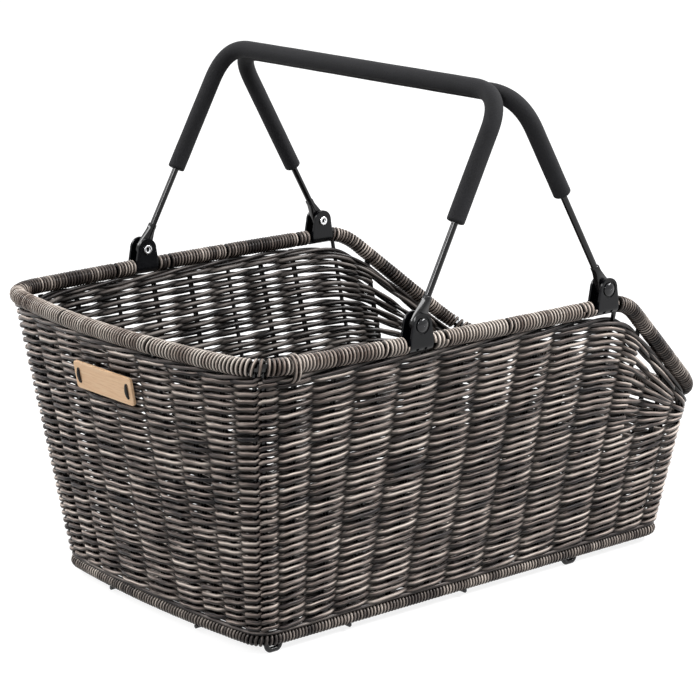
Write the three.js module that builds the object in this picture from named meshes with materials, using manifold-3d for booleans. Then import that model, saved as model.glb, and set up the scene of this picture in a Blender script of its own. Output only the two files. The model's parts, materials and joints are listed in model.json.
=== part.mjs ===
import * as THREE from 'three';
import { mergeVertices } from 'three/addons/utils/BufferGeometryUtils.js';
import Module from 'manifold-3d';

// A woven bicycle basket on a steel wire frame, with two folding carrying handles.
// Millimetres. X runs from the tall end to the low end, Y to the far side, Z up.
// The basket stands on Z = 0 and is the same on both sides of the plane Y = 0.

// Clearances
const SEAT = 0.3;
const BUTT = 0.3;
const RIM_ROOM = 0.8;

// Base wire centreline
const BASE_TALL_X = 28.3;
const BASE_LOW_X = 414;
const BASE_WIDTH = 223;
const BASE_TALL_BOW = 7;
const BASE_LOW_BOW = 2;
const BASE_ROUND = 13;
const BASE_Z = 9;

// Rim wire centreline, measured from the tall corners
const RIM_LENGTH = 431.8;
const RIM_HEIGHT = 198.8;
const LOW_RIM_HEIGHT = 107.6;
const KNEE_X = 323.8;
const KNEE_ROUND = 14;
const TALL_WIDTH = 286.7;
const KNEE_WIDTH = 311.3;
const LOW_WIDTH = 259.6;
const TALL_BOW = 16.2;
const LOW_BOW = 2;
const LONG_BOW = 5.4;
const RIM_ROUND = 25;

// Wires and the strands wound round them
const RIM_WIRE_R = 3;
const RIM_WRAP_R = 6;
const BASE_WIRE_R = 2.5;
const BASE_WRAP_R = 4.7;
const UPRIGHT_R = 1.7;
const FIRST_UPRIGHT_RIM_X = 98;
const FIRST_UPRIGHT_BASE_X = 103;
const UPRIGHT_RIM_PITCH = 107.5;
const UPRIGHT_BASE_PITCH = 108.5;
const UPRIGHTS_PER_SIDE = 3;
const END_UPRIGHT_Y = 50;
const CORNER_WEB = 0.8;

// Woven wall and floor. The wall is thick over each stake, where strands pass on both sides of it, and
// thin halfway between two stakes, where they cross.
const WALL_HALF = 4.4;
const WALL_WAIST_HALF = 1.6;
const STAKE_SPACING = 36;
const FLOOR_THICKNESS = 5.4;

// Floor wires and feet
const FLOOR_WIRE_R = 1.7;
const FLOOR_WIRE_RAMP = 9;
const FOOT_WIRE_R = 1.9;
const FOOT_HALF_SPAN = 5.8;
const FOOT_TALL_X = 38;
const FOOT_LOW_X = 320;
const FOOT_FLAT = 0.45;

// Handle brackets and rivets
const PIVOT_RISE = 13.2;
const PIVOT_1_X = 126;
const PIVOT_2_TO_KNEE = 23.8;
const BRACKET_FOOT = 20;
const BRACKET_HEAD_R = 8.2;
const BRACKET_PLATE = 1.8;
const NOTCH_WIDTH = 2.6;
const NOTCH_HEIGHT = 3.4;
const NOTCH_OFFSET = 3.6;
const RECESS_R = 6.2;
const RECESS_DEPTH = 0.6;
const RIVET_R = 2;
const RIVET_DOME_R = 4.9;
const RIVET_DOME_H = 2.2;
const RIVET_TAIL_R = 3.4;
const RIVET_TAIL_H = 1;
const RIVET_TUBE_R = 1.5;
const RIVET_TUBE_DEPTH = 3;

// Turns of the rim winding beside each bracket
const TURN_STRAND_R = 1.3;
const TURN_PITCH = 3.6;
const TURN_COUNT = 3;

// Handles
const HANDLE_REACH = 165.8;
const HANDLE_DRAW_IN = 3;
const HANDLE_BEND = 28;
const ROD_R = 2.4;
const EYE_R = 6.2;
const EYE_THICKNESS = 4.8;
const EYE_NECK = 20;
const GRIP_R = 6.3;
const GRIP_START = 68.6;
const GRIP_1_SLIP = 3.7;
const GRIP_2_SLIP = 15;
const MEETING_OFFSET = 3.2;

// Badge plate on the tall end
const BADGE_WIDTH = 66;
const BADGE_HEIGHT = 20;
const BADGE_THICKNESS = 2.4;
const BADGE_Y = 3.7;
const BADGE_Z = 173;
const BADGE_ROUND = 2;
const BADGE_SLOT_WIDTH = 2.6;
const BADGE_SLOT_HEIGHT = 11;
const BADGE_SLOT_INSET = 5.2;
const TIE_PROUD = 0.8;

// Roundness of the model
const WIRE_SIDES = 8;
const INNER_WIRE_SIDES = 6;
const WRAP_SIDES = 8;
const GRIP_SIDES = 10;
const TURN_STEPS = 24;
const TURN_SIDES = 6;
const CORNER_STEPS = 4;
const HANDLE_BEND_STEPS = 5;
const SIDE_STEP = 70;

// Sizes worked out from the ones above
const RIM_Z = BASE_Z + RIM_HEIGHT;
const LOW_RIM_Z = BASE_Z + LOW_RIM_HEIGHT;
const PIVOT_Z = RIM_Z + PIVOT_RISE;
const PIVOT_2_X = KNEE_X - PIVOT_2_TO_KNEE;
const GRIPS_APART = 2 * GRIP_R + SEAT;
const WIRE_BORE_R = RIM_WIRE_R + SEAT;
const BASE_BORE_R = BASE_WIRE_R + SEAT;
const CHANNEL_R = UPRIGHT_R + SEAT;
const CORNER_UPRIGHT_OFFSET = BUTT / 2 + CORNER_WEB + CHANNEL_R;
const FLOOR_LOW_Z = BASE_Z + 3 * FLOOR_WIRE_R + 2 * SEAT;
const TURN_HELIX_R = WIRE_BORE_R + TURN_STRAND_R;
const TURN_LENGTH = TURN_COUNT * TURN_PITCH + 2 * TURN_STRAND_R;

const wasm = await Module();
wasm.setup();

const steel = () => new THREE.MeshStandardMaterial({ color: 0x101113, roughness: 0.3, metalness: 0.6 });
const rivetSteel = () => new THREE.MeshStandardMaterial({ color: 0x8d9094, roughness: 0.3, metalness: 0.9 });
const foam = () => new THREE.MeshStandardMaterial({ color: 0x2c2c2e, roughness: 0.9, metalness: 0 });
const weave = () => new THREE.MeshStandardMaterial({ color: 0x4a423d, roughness: 0.55, metalness: 0 });
const binding = () => new THREE.MeshStandardMaterial({ color: 0x6a5d51, roughness: 0.5, metalness: 0 });
const wood = () => new THREE.MeshStandardMaterial({ color: 0xd8b07c, roughness: 0.6, metalness: 0 });
const strap = () => new THREE.MeshStandardMaterial({ color: 0x18130f, roughness: 0.7, metalness: 0 });

// A closed geometry as a solid, and back
function toSolid(geometry) {
  const bare = geometry.clone();
  bare.deleteAttribute('normal');
  bare.deleteAttribute('uv');
  const merged = mergeVertices(bare, 1e-4);
  const vertProperties = new Float32Array(merged.attributes.position.array);
  const triVerts = new Uint32Array(merged.index.array);
  return new wasm.Manifold(new wasm.Mesh({ numProp: 3, vertProperties, triVerts }));
}

function toGeometry(solid) {
  const { vertProperties, triVerts } = solid.getMesh();
  const geometry = new THREE.BufferGeometry();
  geometry.setAttribute('position', new THREE.BufferAttribute(new Float32Array(vertProperties), 3));
  geometry.setIndex(new THREE.BufferAttribute(new Uint32Array(triVerts), 1));
  return geometry;
}

function cut(geometry, ...tools) {
  let solid = toSolid(geometry);
  for (const tool of tools) solid = solid.subtract(toSolid(tool));
  return toGeometry(solid);
}

function join(...geometries) {
  return toGeometry(geometries.map(toSolid).reduce((whole, piece) => whole.add(piece)));
}

function common(first, second) {
  return toGeometry(toSolid(first).intersect(toSolid(second)));
}

function meshOf(name, geometry, material) {
  const mesh = new THREE.Mesh(geometry, material);
  mesh.name = name;
  return mesh;
}

// A route through chosen points, swept corner by corner instead of at even steps
class Route extends THREE.Curve {
  constructor(points) {
    super();
    this.points = points;
  }

  getPointAt(u) {
    return this.points[Math.round(u * (this.points.length - 1))].clone();
  }

  getTangentAt(u) {
    const i = Math.round(u * (this.points.length - 1));
    const before = this.points[Math.max(i - 1, 0)];
    const here = this.points[i];
    const after = this.points[Math.min(i + 1, this.points.length - 1)];
    const arriving = here.clone().sub(before).normalize();
    const leaving = after.clone().sub(here).normalize();
    return arriving.add(leaving).normalize();
  }
}

function circlePath(PathClass, radius, sides) {
  const path = new PathClass();
  path.setFromPoints(Array.from({ length: sides }, (_, i) => {
    const angle = 2 * Math.PI * i / sides;
    return new THREE.Vector2(radius * Math.cos(angle), radius * Math.sin(angle));
  }));
  return path;
}

function sweep(shape, points) {
  const settings = { steps: points.length - 1, extrudePath: new Route(points), bevelEnabled: false };
  return new THREE.ExtrudeGeometry(shape, settings);
}

function rod(points, radius, sides = WIRE_SIDES) {
  return sweep(circlePath(THREE.Shape, radius, sides), points);
}

function sleeve(points, radius, bore, sides) {
  const ring = circlePath(THREE.Shape, radius, sides);
  ring.holes.push(circlePath(THREE.Path, bore, sides));
  return sweep(ring, points);
}

// Values from one number to another, evenly spaced and no further apart than a step
function spread(from, to, step) {
  const count = Math.max(1, Math.ceil(Math.abs(to - from) / step));
  return Array.from({ length: count + 1 }, (_, i) => THREE.MathUtils.lerp(from, to, i / count));
}

function withoutRepeats(items, pointOf = (item) => item) {
  return items.filter((item, i) => i === 0 || pointOf(item).distanceTo(pointOf(items[i - 1])) > 0.01);
}

function quadratic(a, b, c, t) {
  const first = a.clone().lerp(b, t);
  const second = b.clone().lerp(c, t);
  return first.lerp(second, t);
}

// Value that keeps step with another between matched stations
function matched(stations, value) {
  let i = 1;
  while (i < stations.length - 1 && value > stations[i][0]) i += 1;
  const [fromA, fromB] = stations[i - 1];
  const [toA, toB] = stations[i];
  return THREE.MathUtils.mapLinear(value, fromA, toA, fromB, toB);
}

const uprightNumbers = Array.from({ length: UPRIGHTS_PER_SIDE }, (_, i) => i);
const uprightRimX = uprightNumbers.map((i) => FIRST_UPRIGHT_RIM_X + i * UPRIGHT_RIM_PITCH);
const uprightBaseX = uprightNumbers.map((i) => FIRST_UPRIGHT_BASE_X + i * UPRIGHT_BASE_PITCH);
const longStations = [
  [RIM_ROUND, BASE_TALL_X + BASE_ROUND],
  ...uprightNumbers.map((i) => [uprightRimX[i], uprightBaseX[i]]),
  [RIM_LENGTH - RIM_ROUND, BASE_LOW_X - BASE_ROUND],
];

// Rim wire over a long side, at a distance from the tall corner; side is -1 near and 1 far
function longRim(x, side) {
  const sharp = (along) => {
    const level = Math.min(along / KNEE_X, 1);
    const slope = Math.max(0, (along - KNEE_X) / (RIM_LENGTH - KNEE_X));
    const bow = 4 * LONG_BOW * level * (1 - level);
    const width = THREE.MathUtils.lerp(TALL_WIDTH, KNEE_WIDTH, level) + (LOW_WIDTH - KNEE_WIDTH) * slope;
    return new THREE.Vector3(along, side * (width / 2 + bow), THREE.MathUtils.lerp(RIM_Z, LOW_RIM_Z, slope));
  };
  if (Math.abs(x - KNEE_X) >= KNEE_ROUND) return sharp(x);
  const share = (x - KNEE_X + KNEE_ROUND) / (2 * KNEE_ROUND);
  return quadratic(sharp(KNEE_X - KNEE_ROUND), sharp(KNEE_X), sharp(KNEE_X + KNEE_ROUND), share);
}

function longPair(x, side) {
  const base = new THREE.Vector3(matched(longStations, x), side * BASE_WIDTH / 2, BASE_Z);
  return { rim: longRim(x, side), base };
}

// The two ends, at a distance across from the middle
const tallEnd = {
  rimX: 0,
  rimBow: -TALL_BOW,
  rimWidth: TALL_WIDTH,
  rimZ: RIM_Z,
  baseX: BASE_TALL_X,
  baseBow: -BASE_TALL_BOW,
};
const lowEnd = {
  rimX: RIM_LENGTH,
  rimBow: LOW_BOW,
  rimWidth: LOW_WIDTH,
  rimZ: LOW_RIM_Z,
  baseX: BASE_LOW_X,
  baseBow: BASE_LOW_BOW,
};

function endPair(end, y) {
  const half = end.rimWidth / 2;
  const stations = [[0, 0], [END_UPRIGHT_Y, END_UPRIGHT_Y], [half - RIM_ROUND, BASE_WIDTH / 2 - BASE_ROUND]];
  const baseY = Math.sign(y) * matched(stations, Math.abs(y));
  const bowAt = (across, reach) => 1 - (across / reach) ** 2;
  const rim = new THREE.Vector3(end.rimX + end.rimBow * bowAt(y, half), y, end.rimZ);
  const baseX = end.baseX + end.baseBow * bowAt(baseY, BASE_WIDTH / 2);
  return { rim, base: new THREE.Vector3(baseX, baseY, BASE_Z) };
}

// A rounded corner from the end to the long side, share 0 to 1
function cornerPair(end, side, share) {
  const fromEnd = endPair(end, side * (end.rimWidth / 2 - RIM_ROUND));
  const fromLong = longPair(Math.abs(end.rimX - RIM_ROUND), side);
  const rimCorner = new THREE.Vector3(end.rimX, side * end.rimWidth / 2, end.rimZ);
  const baseCorner = new THREE.Vector3(end.baseX, side * BASE_WIDTH / 2, BASE_Z);
  return {
    rim: quadratic(fromEnd.rim, rimCorner, fromLong.rim, share),
    base: quadratic(fromEnd.base, baseCorner, fromLong.base, share),
  };
}

function cornerRun(end, side, from, to) {
  const steps = Math.round(Math.abs(to - from) * CORNER_STEPS);
  return spread(from, to, Math.abs(to - from) / steps).map((share) => cornerPair(end, side, share));
}

function endRun(end, from, to) {
  const inside = [-END_UPRIGHT_Y, 0, END_UPRIGHT_Y].filter((y) => y > from && y < to);
  const stops = [from, ...inside, to];
  const values = stops.slice(1).flatMap((y, i) => spread(stops[i], y, SIDE_STEP));
  return withoutRepeats(values.map((y) => endPair(end, y)), (pair) => pair.rim);
}

const knee = [KNEE_X - KNEE_ROUND, KNEE_X, KNEE_X + KNEE_ROUND];

function longRun(side, from, to) {
  const inside = [...uprightRimX, ...knee].filter((x) => x > from && x < to);
  const stops = [from, ...inside, to].sort((a, b) => a - b);
  const values = stops.slice(1).flatMap((x, i) => spread(stops[i], x, SIDE_STEP));
  return withoutRepeats(values.map((x) => longPair(x, side)), (pair) => pair.rim);
}

const longFrom = RIM_ROUND;
const longTo = RIM_LENGTH - RIM_ROUND;
const reachOf = (end) => end.rimWidth / 2 - RIM_ROUND;
const reversed = (items) => [...items].reverse();
const joined = (...runs) => withoutRepeats(runs.flat(), (pair) => pair.rim);

// The whole way round, from the middle of the low end by the far side back to it
const wholeLoop = joined(
  endRun(lowEnd, BUTT / 2, reachOf(lowEnd)),
  cornerRun(lowEnd, 1, 0, 1),
  reversed(longRun(1, longFrom, longTo)),
  cornerRun(tallEnd, 1, 1, 0),
  reversed(endRun(tallEnd, -reachOf(tallEnd), reachOf(tallEnd))),
  cornerRun(tallEnd, -1, 0, 1),
  longRun(-1, longFrom, longTo),
  cornerRun(lowEnd, -1, 1, 0),
  endRun(lowEnd, -reachOf(lowEnd), -BUTT / 2),
);
const rimOf = (pairs) => pairs.map((pair) => pair.rim);

// Base wire route, without the points that lie on its straight long sides
function baseOf(pairs) {
  const points = withoutRepeats(pairs.map((pair) => pair.base));
  return points.filter((point, i) => {
    if (i === 0 || i === points.length - 1) return true;
    const arriving = point.clone().sub(points[i - 1]).normalize();
    const leaving = points[i + 1].clone().sub(point).normalize();
    return arriving.dot(leaving) < 0.99999;
  });
}

// Room kept for the two wires in the pieces that meet them
const rimWireWay = rod(rimOf(wholeLoop), WIRE_BORE_R, INNER_WIRE_SIDES);
const baseWireWay = rod(baseOf(wholeLoop), BASE_BORE_R, INNER_WIRE_SIDES);

// Steel uprights, each from the base wire to the rim wire
function uprightRod({ rim, base }) {
  return cut(rod([base, rim], UPRIGHT_R, INNER_WIRE_SIDES), rimWireWay, baseWireWay);
}

const SIDES = [{ side: -1, label: 'near' }, { side: 1, label: 'far' }];
const ENDS = [{ end: tallEnd, label: 'tall' }, { end: lowEnd, label: 'low' }];

const longUprights = SIDES.flatMap(({ side, label }) => uprightNumbers.map((i) => (
  { name: `upright_${label}_${i + 1}`, pair: longPair(uprightRimX[i], side), panel: `wall_${label}` }
)));
const endUprights = ENDS.flatMap(({ end, label }) => SIDES.map(({ side, label: sideLabel }) => (
  { name: `upright_${label}_${sideLabel}`, pair: endPair(end, side * END_UPRIGHT_Y), panel: `wall_${label}` }
)));

// Two uprights at each corner, one on each side of the mitre between two wall panels
function besideMitre(end, side, direction) {
  const apex = cornerPair(end, side, 0.5);
  const next = cornerPair(end, side, 0.5 + direction / CORNER_STEPS);
  const shifted = (a, b) => a.clone().addScaledVector(b.clone().sub(a).normalize(), CORNER_UPRIGHT_OFFSET);
  return { rim: shifted(apex.rim, next.rim), base: shifted(apex.base, next.base) };
}

const cornerUprights = ENDS.flatMap(({ end, label }) => SIDES.flatMap(({ side, label: sideLabel }) => [
  { name: `corner_${label}_${sideLabel}_end`, pair: besideMitre(end, side, -1), panel: `wall_${label}` },
  { name: `corner_${label}_${sideLabel}_long`, pair: besideMitre(end, side, 1), panel: `wall_${sideLabel}` },
]));
const uprights = [...longUprights, ...endUprights, ...cornerUprights];

function channelOf({ pair }) {
  return rod([pair.base, pair.rim], CHANNEL_R, INNER_WIRE_SIDES);
}

// Half thickness of a wall at the stakes between some stops along it, and halfway between the stakes
function flutes(stops) {
  const bays = stops.slice(1).flatMap((to, i) => {
    const from = stops[i];
    const count = 2 * Math.max(1, Math.round((to - from) / STAKE_SPACING));
    return Array.from({ length: count }, (_, k) => (
      [THREE.MathUtils.lerp(from, to, k / count), k % 2 === 0 ? WALL_HALF : WALL_WAIST_HALF]
    ));
  });
  return [...bays, [stops[stops.length - 1], WALL_HALF]];
}

function flutedRun(stops, between, pairAt) {
  const stations = flutes(stops);
  const places = [...stations.map(([place]) => place), ...between].sort((a, b) => a - b);
  return places.map((place) => ({ ...pairAt(place), half: matched(stations, place) }));
}

// A woven wall panel: a bowed, fluted sheet between the base wire and the rim wire. Its first and last
// pairs lie past the mitres and only give their direction; it stops half a butt gap short of each mitre.
function wallPanel(pairs) {
  const outline = pairs.slice(1, -1).map((pair, i, own) => {
    const [before, after] = [pairs[i], pairs[i + 2]];
    const rimWay = after.rim.clone().sub(before.rim);
    const climb = rimWay.z / Math.hypot(rimWay.x, rimWay.y);
    const baseWay = after.base.clone().sub(before.base);
    const onward = rimWay.setZ(0).normalize().add(baseWay.normalize()).normalize();
    const out = new THREE.Vector3(onward.y, -onward.x, 0).multiplyScalar(pair.half ?? WALL_HALF);

    const height = pair.rim.z - pair.base.z;
    const drop = (RIM_WRAP_R + RIM_ROOM) * Math.hypot(1, climb);
    const low = pair.base.clone().lerp(pair.rim, (BASE_WRAP_R + SEAT) / height);
    const high = pair.base.clone().lerp(pair.rim, 1 - drop / height);
    const drawnIn = Number(i === 0) - Number(i === own.length - 1);
    const at = (level, way) => (
      level.clone().addScaledVector(out, way).addScaledVector(onward, drawnIn * BUTT / 2)
    );
    return [at(low, 1), at(high, 1), at(high, -1), at(low, -1)];
  });
  return loft(outline);
}

// A closed skin through sections of equal point count, capped at both ends
function loft(sections) {
  const count = sections[0].length;
  const position = sections.flat().flatMap((point) => point.toArray());
  const index = [];
  for (let s = 0; s < sections.length - 1; s += 1) {
    for (let k = 0; k < count; k += 1) {
      const a = s * count + k;
      const b = s * count + (k + 1) % count;
      index.push(a, b + count, b, a, a + count, b + count);
    }
  }
  const last = (sections.length - 1) * count;
  for (let k = 1; k < count - 1; k += 1) {
    index.push(0, k, k + 1);
    index.push(last, last + k + 1, last + k);
  }
  const geometry = new THREE.BufferGeometry();
  geometry.setAttribute('position', new THREE.Float32BufferAttribute(position, 3));
  geometry.setIndex(index);
  return geometry;
}

function wallMesh(name, pairs) {
  const channels = uprights.filter((upright) => upright.panel === name).map(channelOf);
  return meshOf(name, cut(wallPanel(pairs), ...channels), weave());
}

function walls() {
  const mitre = 0.5;
  const past = 1 / CORNER_STEPS;
  const longStops = [longFrom, ...uprightRimX, longTo];
  const long = SIDES.map(({ side, label }) => wallMesh(`wall_${label}`, joined(
    cornerRun(tallEnd, side, mitre - past, 1),
    flutedRun(longStops, knee, (x) => longPair(x, side)),
    cornerRun(lowEnd, side, 1, mitre - past),
  )));
  const ends = ENDS.map(({ end, label }) => {
    const endStops = [-reachOf(end), -END_UPRIGHT_Y, END_UPRIGHT_Y, reachOf(end)];
    return wallMesh(`wall_${label}`, joined(
      cornerRun(end, -1, mitre + past, 0),
      flutedRun(endStops, [], (y) => endPair(end, y)),
      cornerRun(end, 1, 0, mitre + past),
    ));
  });
  return [...long, ...ends];
}

// Winding round the rim wire, between the brackets and the open turns beside them
const bracketReach = BRACKET_FOOT / 2 + SEAT;
const turnStart = bracketReach + SEAT;
const turnReach = turnStart + TURN_LENGTH + SEAT;
const uprightHoles = uprights.map(channelOf);

function bracketRooms() {
  return [PIVOT_1_X, PIVOT_2_X].map((pivot) => {
    const room = new THREE.BoxGeometry(2 * bracketReach, 2 * KNEE_WIDTH, 8 * RIM_WRAP_R);
    return room.translate(pivot, 0, RIM_Z);
  });
}

function rimWrap(name, pairs) {
  const wrap = sleeve(rimOf(pairs), RIM_WRAP_R, WIRE_BORE_R, WRAP_SIDES);
  return meshOf(name, cut(wrap, ...uprightHoles, ...bracketRooms()), binding());
}

function rimWraps() {
  const tallWay = joined(
    reversed(longRun(-1, longFrom, PIVOT_1_X)),
    cornerRun(tallEnd, -1, 1, 0),
    endRun(tallEnd, -reachOf(tallEnd), reachOf(tallEnd)),
    cornerRun(tallEnd, 1, 0, 1),
    longRun(1, longFrom, PIVOT_1_X),
  );
  const lowWay = joined(
    longRun(-1, PIVOT_2_X, longTo),
    cornerRun(lowEnd, -1, 1, 0),
    endRun(lowEnd, -reachOf(lowEnd), reachOf(lowEnd)),
    cornerRun(lowEnd, 1, 0, 1),
    reversed(longRun(1, PIVOT_2_X, longTo)),
  );
  const middles = SIDES.map(({ side, label }) => (
    rimWrap(`rim_wrap_${label}`, longRun(side, PIVOT_1_X + turnReach, PIVOT_2_X - turnReach))
  ));
  return [rimWrap('rim_wrap_tall', tallWay), rimWrap('rim_wrap_low', lowWay), ...middles];
}

// Open turns beside a bracket: one unbroken strand, straight for one diameter at each end
function turnPoints() {
  const steps = TURN_COUNT * TURN_STEPS;
  const helix = Array.from({ length: steps + 1 }, (_, i) => {
    const angle = 2 * Math.PI * i / TURN_STEPS;
    const along = TURN_STRAND_R + TURN_PITCH * i / TURN_STEPS;
    return new THREE.Vector3(along, TURN_HELIX_R * Math.cos(angle), TURN_HELIX_R * Math.sin(angle));
  });
  const lead = (end, way) => end.clone().add(new THREE.Vector3(0, 0, way * 2 * TURN_STRAND_R));
  return [lead(helix[0], -1), ...helix, lead(helix[steps], 1)];
}

const turnRoute = turnPoints();

function leastGapToItself(points, radius) {
  let least = Infinity;
  for (let i = 0; i < points.length; i += 1) {
    for (let j = i + TURN_STEPS / 2; j < points.length; j += 1) {
      least = Math.min(least, points[i].distanceTo(points[j]) - 2 * radius);
    }
  }
  return least;
}

const turnGap = leastGapToItself(turnRoute, TURN_STRAND_R);
console.log(`least gap of the open turns to themselves: ${turnGap.toFixed(2)} mm`);

function openTurns() {
  const places = [
    { pivot: PIVOT_1_X, way: 1, number: 1 },
    { pivot: PIVOT_2_X, way: -1, number: 2 },
  ];
  return places.flatMap(({ pivot, way, number }) => SIDES.map(({ side, label }) => {
    const start = longRim(pivot + way * turnStart, side);
    const stop = longRim(pivot + way * (turnStart + TURN_LENGTH), side);
    const strand = rod(turnRoute, TURN_STRAND_R, TURN_SIDES);
    const turns = meshOf(`rim_turns_${label}_${number}`, strand, binding());
    turns.position.copy(start);
    turns.quaternion.setFromUnitVectors(new THREE.Vector3(1, 0, 0), stop.sub(start).normalize());
    return turns;
  }));
}

// Floor wires: each passes under the base wire and rises to carry the woven floor
function floorWirePoints(crosswise, place) {
  const nubZ = BASE_Z - BASE_WIRE_R - SEAT - FLOOR_WIRE_R;
  const middleZ = crosswise ? BASE_Z : BASE_Z + 2 * FLOOR_WIRE_R + SEAT;
  const nub = BASE_WIRE_R + FLOOR_WIRE_R / 2;
  const under = BASE_WRAP_R + FLOOR_WIRE_R;
  const limits = crosswise
    ? { from: -BASE_WIDTH / 2, to: BASE_WIDTH / 2 }
    : { from: endPair(tallEnd, place).base.x, to: endPair(lowEnd, place).base.x };
  const route = [
    [limits.from - nub, nubZ],
    [limits.from + under, nubZ],
    [limits.from + under + FLOOR_WIRE_RAMP, middleZ],
    [limits.to - under - FLOOR_WIRE_RAMP, middleZ],
    [limits.to - under, nubZ],
    [limits.to + nub, nubZ],
  ];
  return route.map(([along, z]) => (
    crosswise ? new THREE.Vector3(place, along, z) : new THREE.Vector3(along, place, z)
  ));
}

const floorWireRoutes = [
  { name: 'floor_wire_cross_1', points: floorWirePoints(true, uprightBaseX[0]) },
  { name: 'floor_wire_cross_2', points: floorWirePoints(true, uprightBaseX[1]) },
  { name: 'floor_wire_long_near', points: floorWirePoints(false, -END_UPRIGHT_Y) },
  { name: 'floor_wire_long_far', points: floorWirePoints(false, END_UPRIGHT_Y) },
];

function floorWires() {
  return floorWireRoutes.map(({ name, points }) => (
    meshOf(name, rod(points, FLOOR_WIRE_R, INNER_WIRE_SIDES), steel())
  ));
}

// Feet: U-shaped wires under the base wire, with a flat where they stand
const footTopZ = BASE_Z - BASE_WIRE_R - SEAT;
const footBend = Math.min(footTopZ - FOOT_WIRE_R + FOOT_FLAT, FOOT_HALF_SPAN);

function footRoute(x, side) {
  const pointAt = (angle, centreX) => new THREE.Vector3(
    centreX + footBend * Math.cos(angle),
    side * BASE_WIDTH / 2,
    footTopZ + footBend * Math.sin(angle),
  );
  const quarter = (from, centreX) => (
    spread(from, from + Math.PI / 2, Math.PI / 8).map((angle) => pointAt(angle, centreX))
  );
  const inset = FOOT_HALF_SPAN - footBend;
  return withoutRepeats([...quarter(Math.PI, x - inset), ...quarter(1.5 * Math.PI, x + inset)]);
}

function footLoop(x, side) {
  const ground = new THREE.BoxGeometry(4 * FOOT_HALF_SPAN, 4 * FOOT_WIRE_R, 4 * FOOT_WIRE_R);
  ground.translate(x, side * BASE_WIDTH / 2, -2 * FOOT_WIRE_R);
  return cut(rod(footRoute(x, side), FOOT_WIRE_R), ground);
}

// Room for a foot's two arms in the base winding
function footWay(x, side) {
  const route = footRoute(x, side);
  const raised = (point) => point.clone().setZ(BASE_Z);
  const through = [raised(route[0]), ...route, raised(route[route.length - 1])];
  return rod(through, FOOT_WIRE_R + SEAT, INNER_WIRE_SIDES);
}

const feet = SIDES.flatMap(({ side, label }) => [
  { name: `foot_loop_tall_${label}`, x: FOOT_TALL_X, side },
  { name: `foot_loop_low_${label}`, x: FOOT_LOW_X, side },
]);

function baseWrap() {
  const wireWays = floorWireRoutes.map(({ points }) => rod(points, FLOOR_WIRE_R + SEAT, INNER_WIRE_SIDES));
  const footWays = feet.map(({ x, side }) => footWay(x, side));
  const wrap = sleeve(baseOf(wholeLoop), BASE_WRAP_R, BASE_BORE_R, INNER_WIRE_SIDES);
  return meshOf('base_wrap', cut(wrap, ...uprightHoles, ...wireWays, ...footWays), binding());
}

// Woven floor, inside the walls and on the floor wires
function floorPanel() {
  const points = baseOf(wholeLoop);
  const inset = WALL_HALF + SEAT;
  const shape = new THREE.Shape(points.map((point, i) => {
    const before = points[Math.max(i - 1, 0)];
    const after = points[Math.min(i + 1, points.length - 1)];
    const way = after.clone().sub(before).normalize();
    return new THREE.Vector2(point.x - way.y * inset, point.y + way.x * inset);
  }));
  const slab = new THREE.ExtrudeGeometry(shape, { depth: FLOOR_THICKNESS, bevelEnabled: false });
  slab.translate(0, 0, FLOOR_LOW_Z);
  return meshOf('floor', slab, weave());
}

// Bracket: a folded steel clevis round the rim wire, with two ears for the rivet. Its plates stand
// square to the pivot, so they are spaced for the rim wire's slant over the length of the foot.
const footSlants = [PIVOT_1_X, PIVOT_2_X].flatMap((pivot) => [-1, 1].map((way) => (
  Math.abs(longRim(pivot + way * BRACKET_FOOT / 2, 1).y - longRim(pivot, 1).y)
)));
const BRACKET_GAP = WIRE_BORE_R + Math.max(...footSlants);
const BRACKET_OUT = BRACKET_GAP + BRACKET_PLATE;

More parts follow.
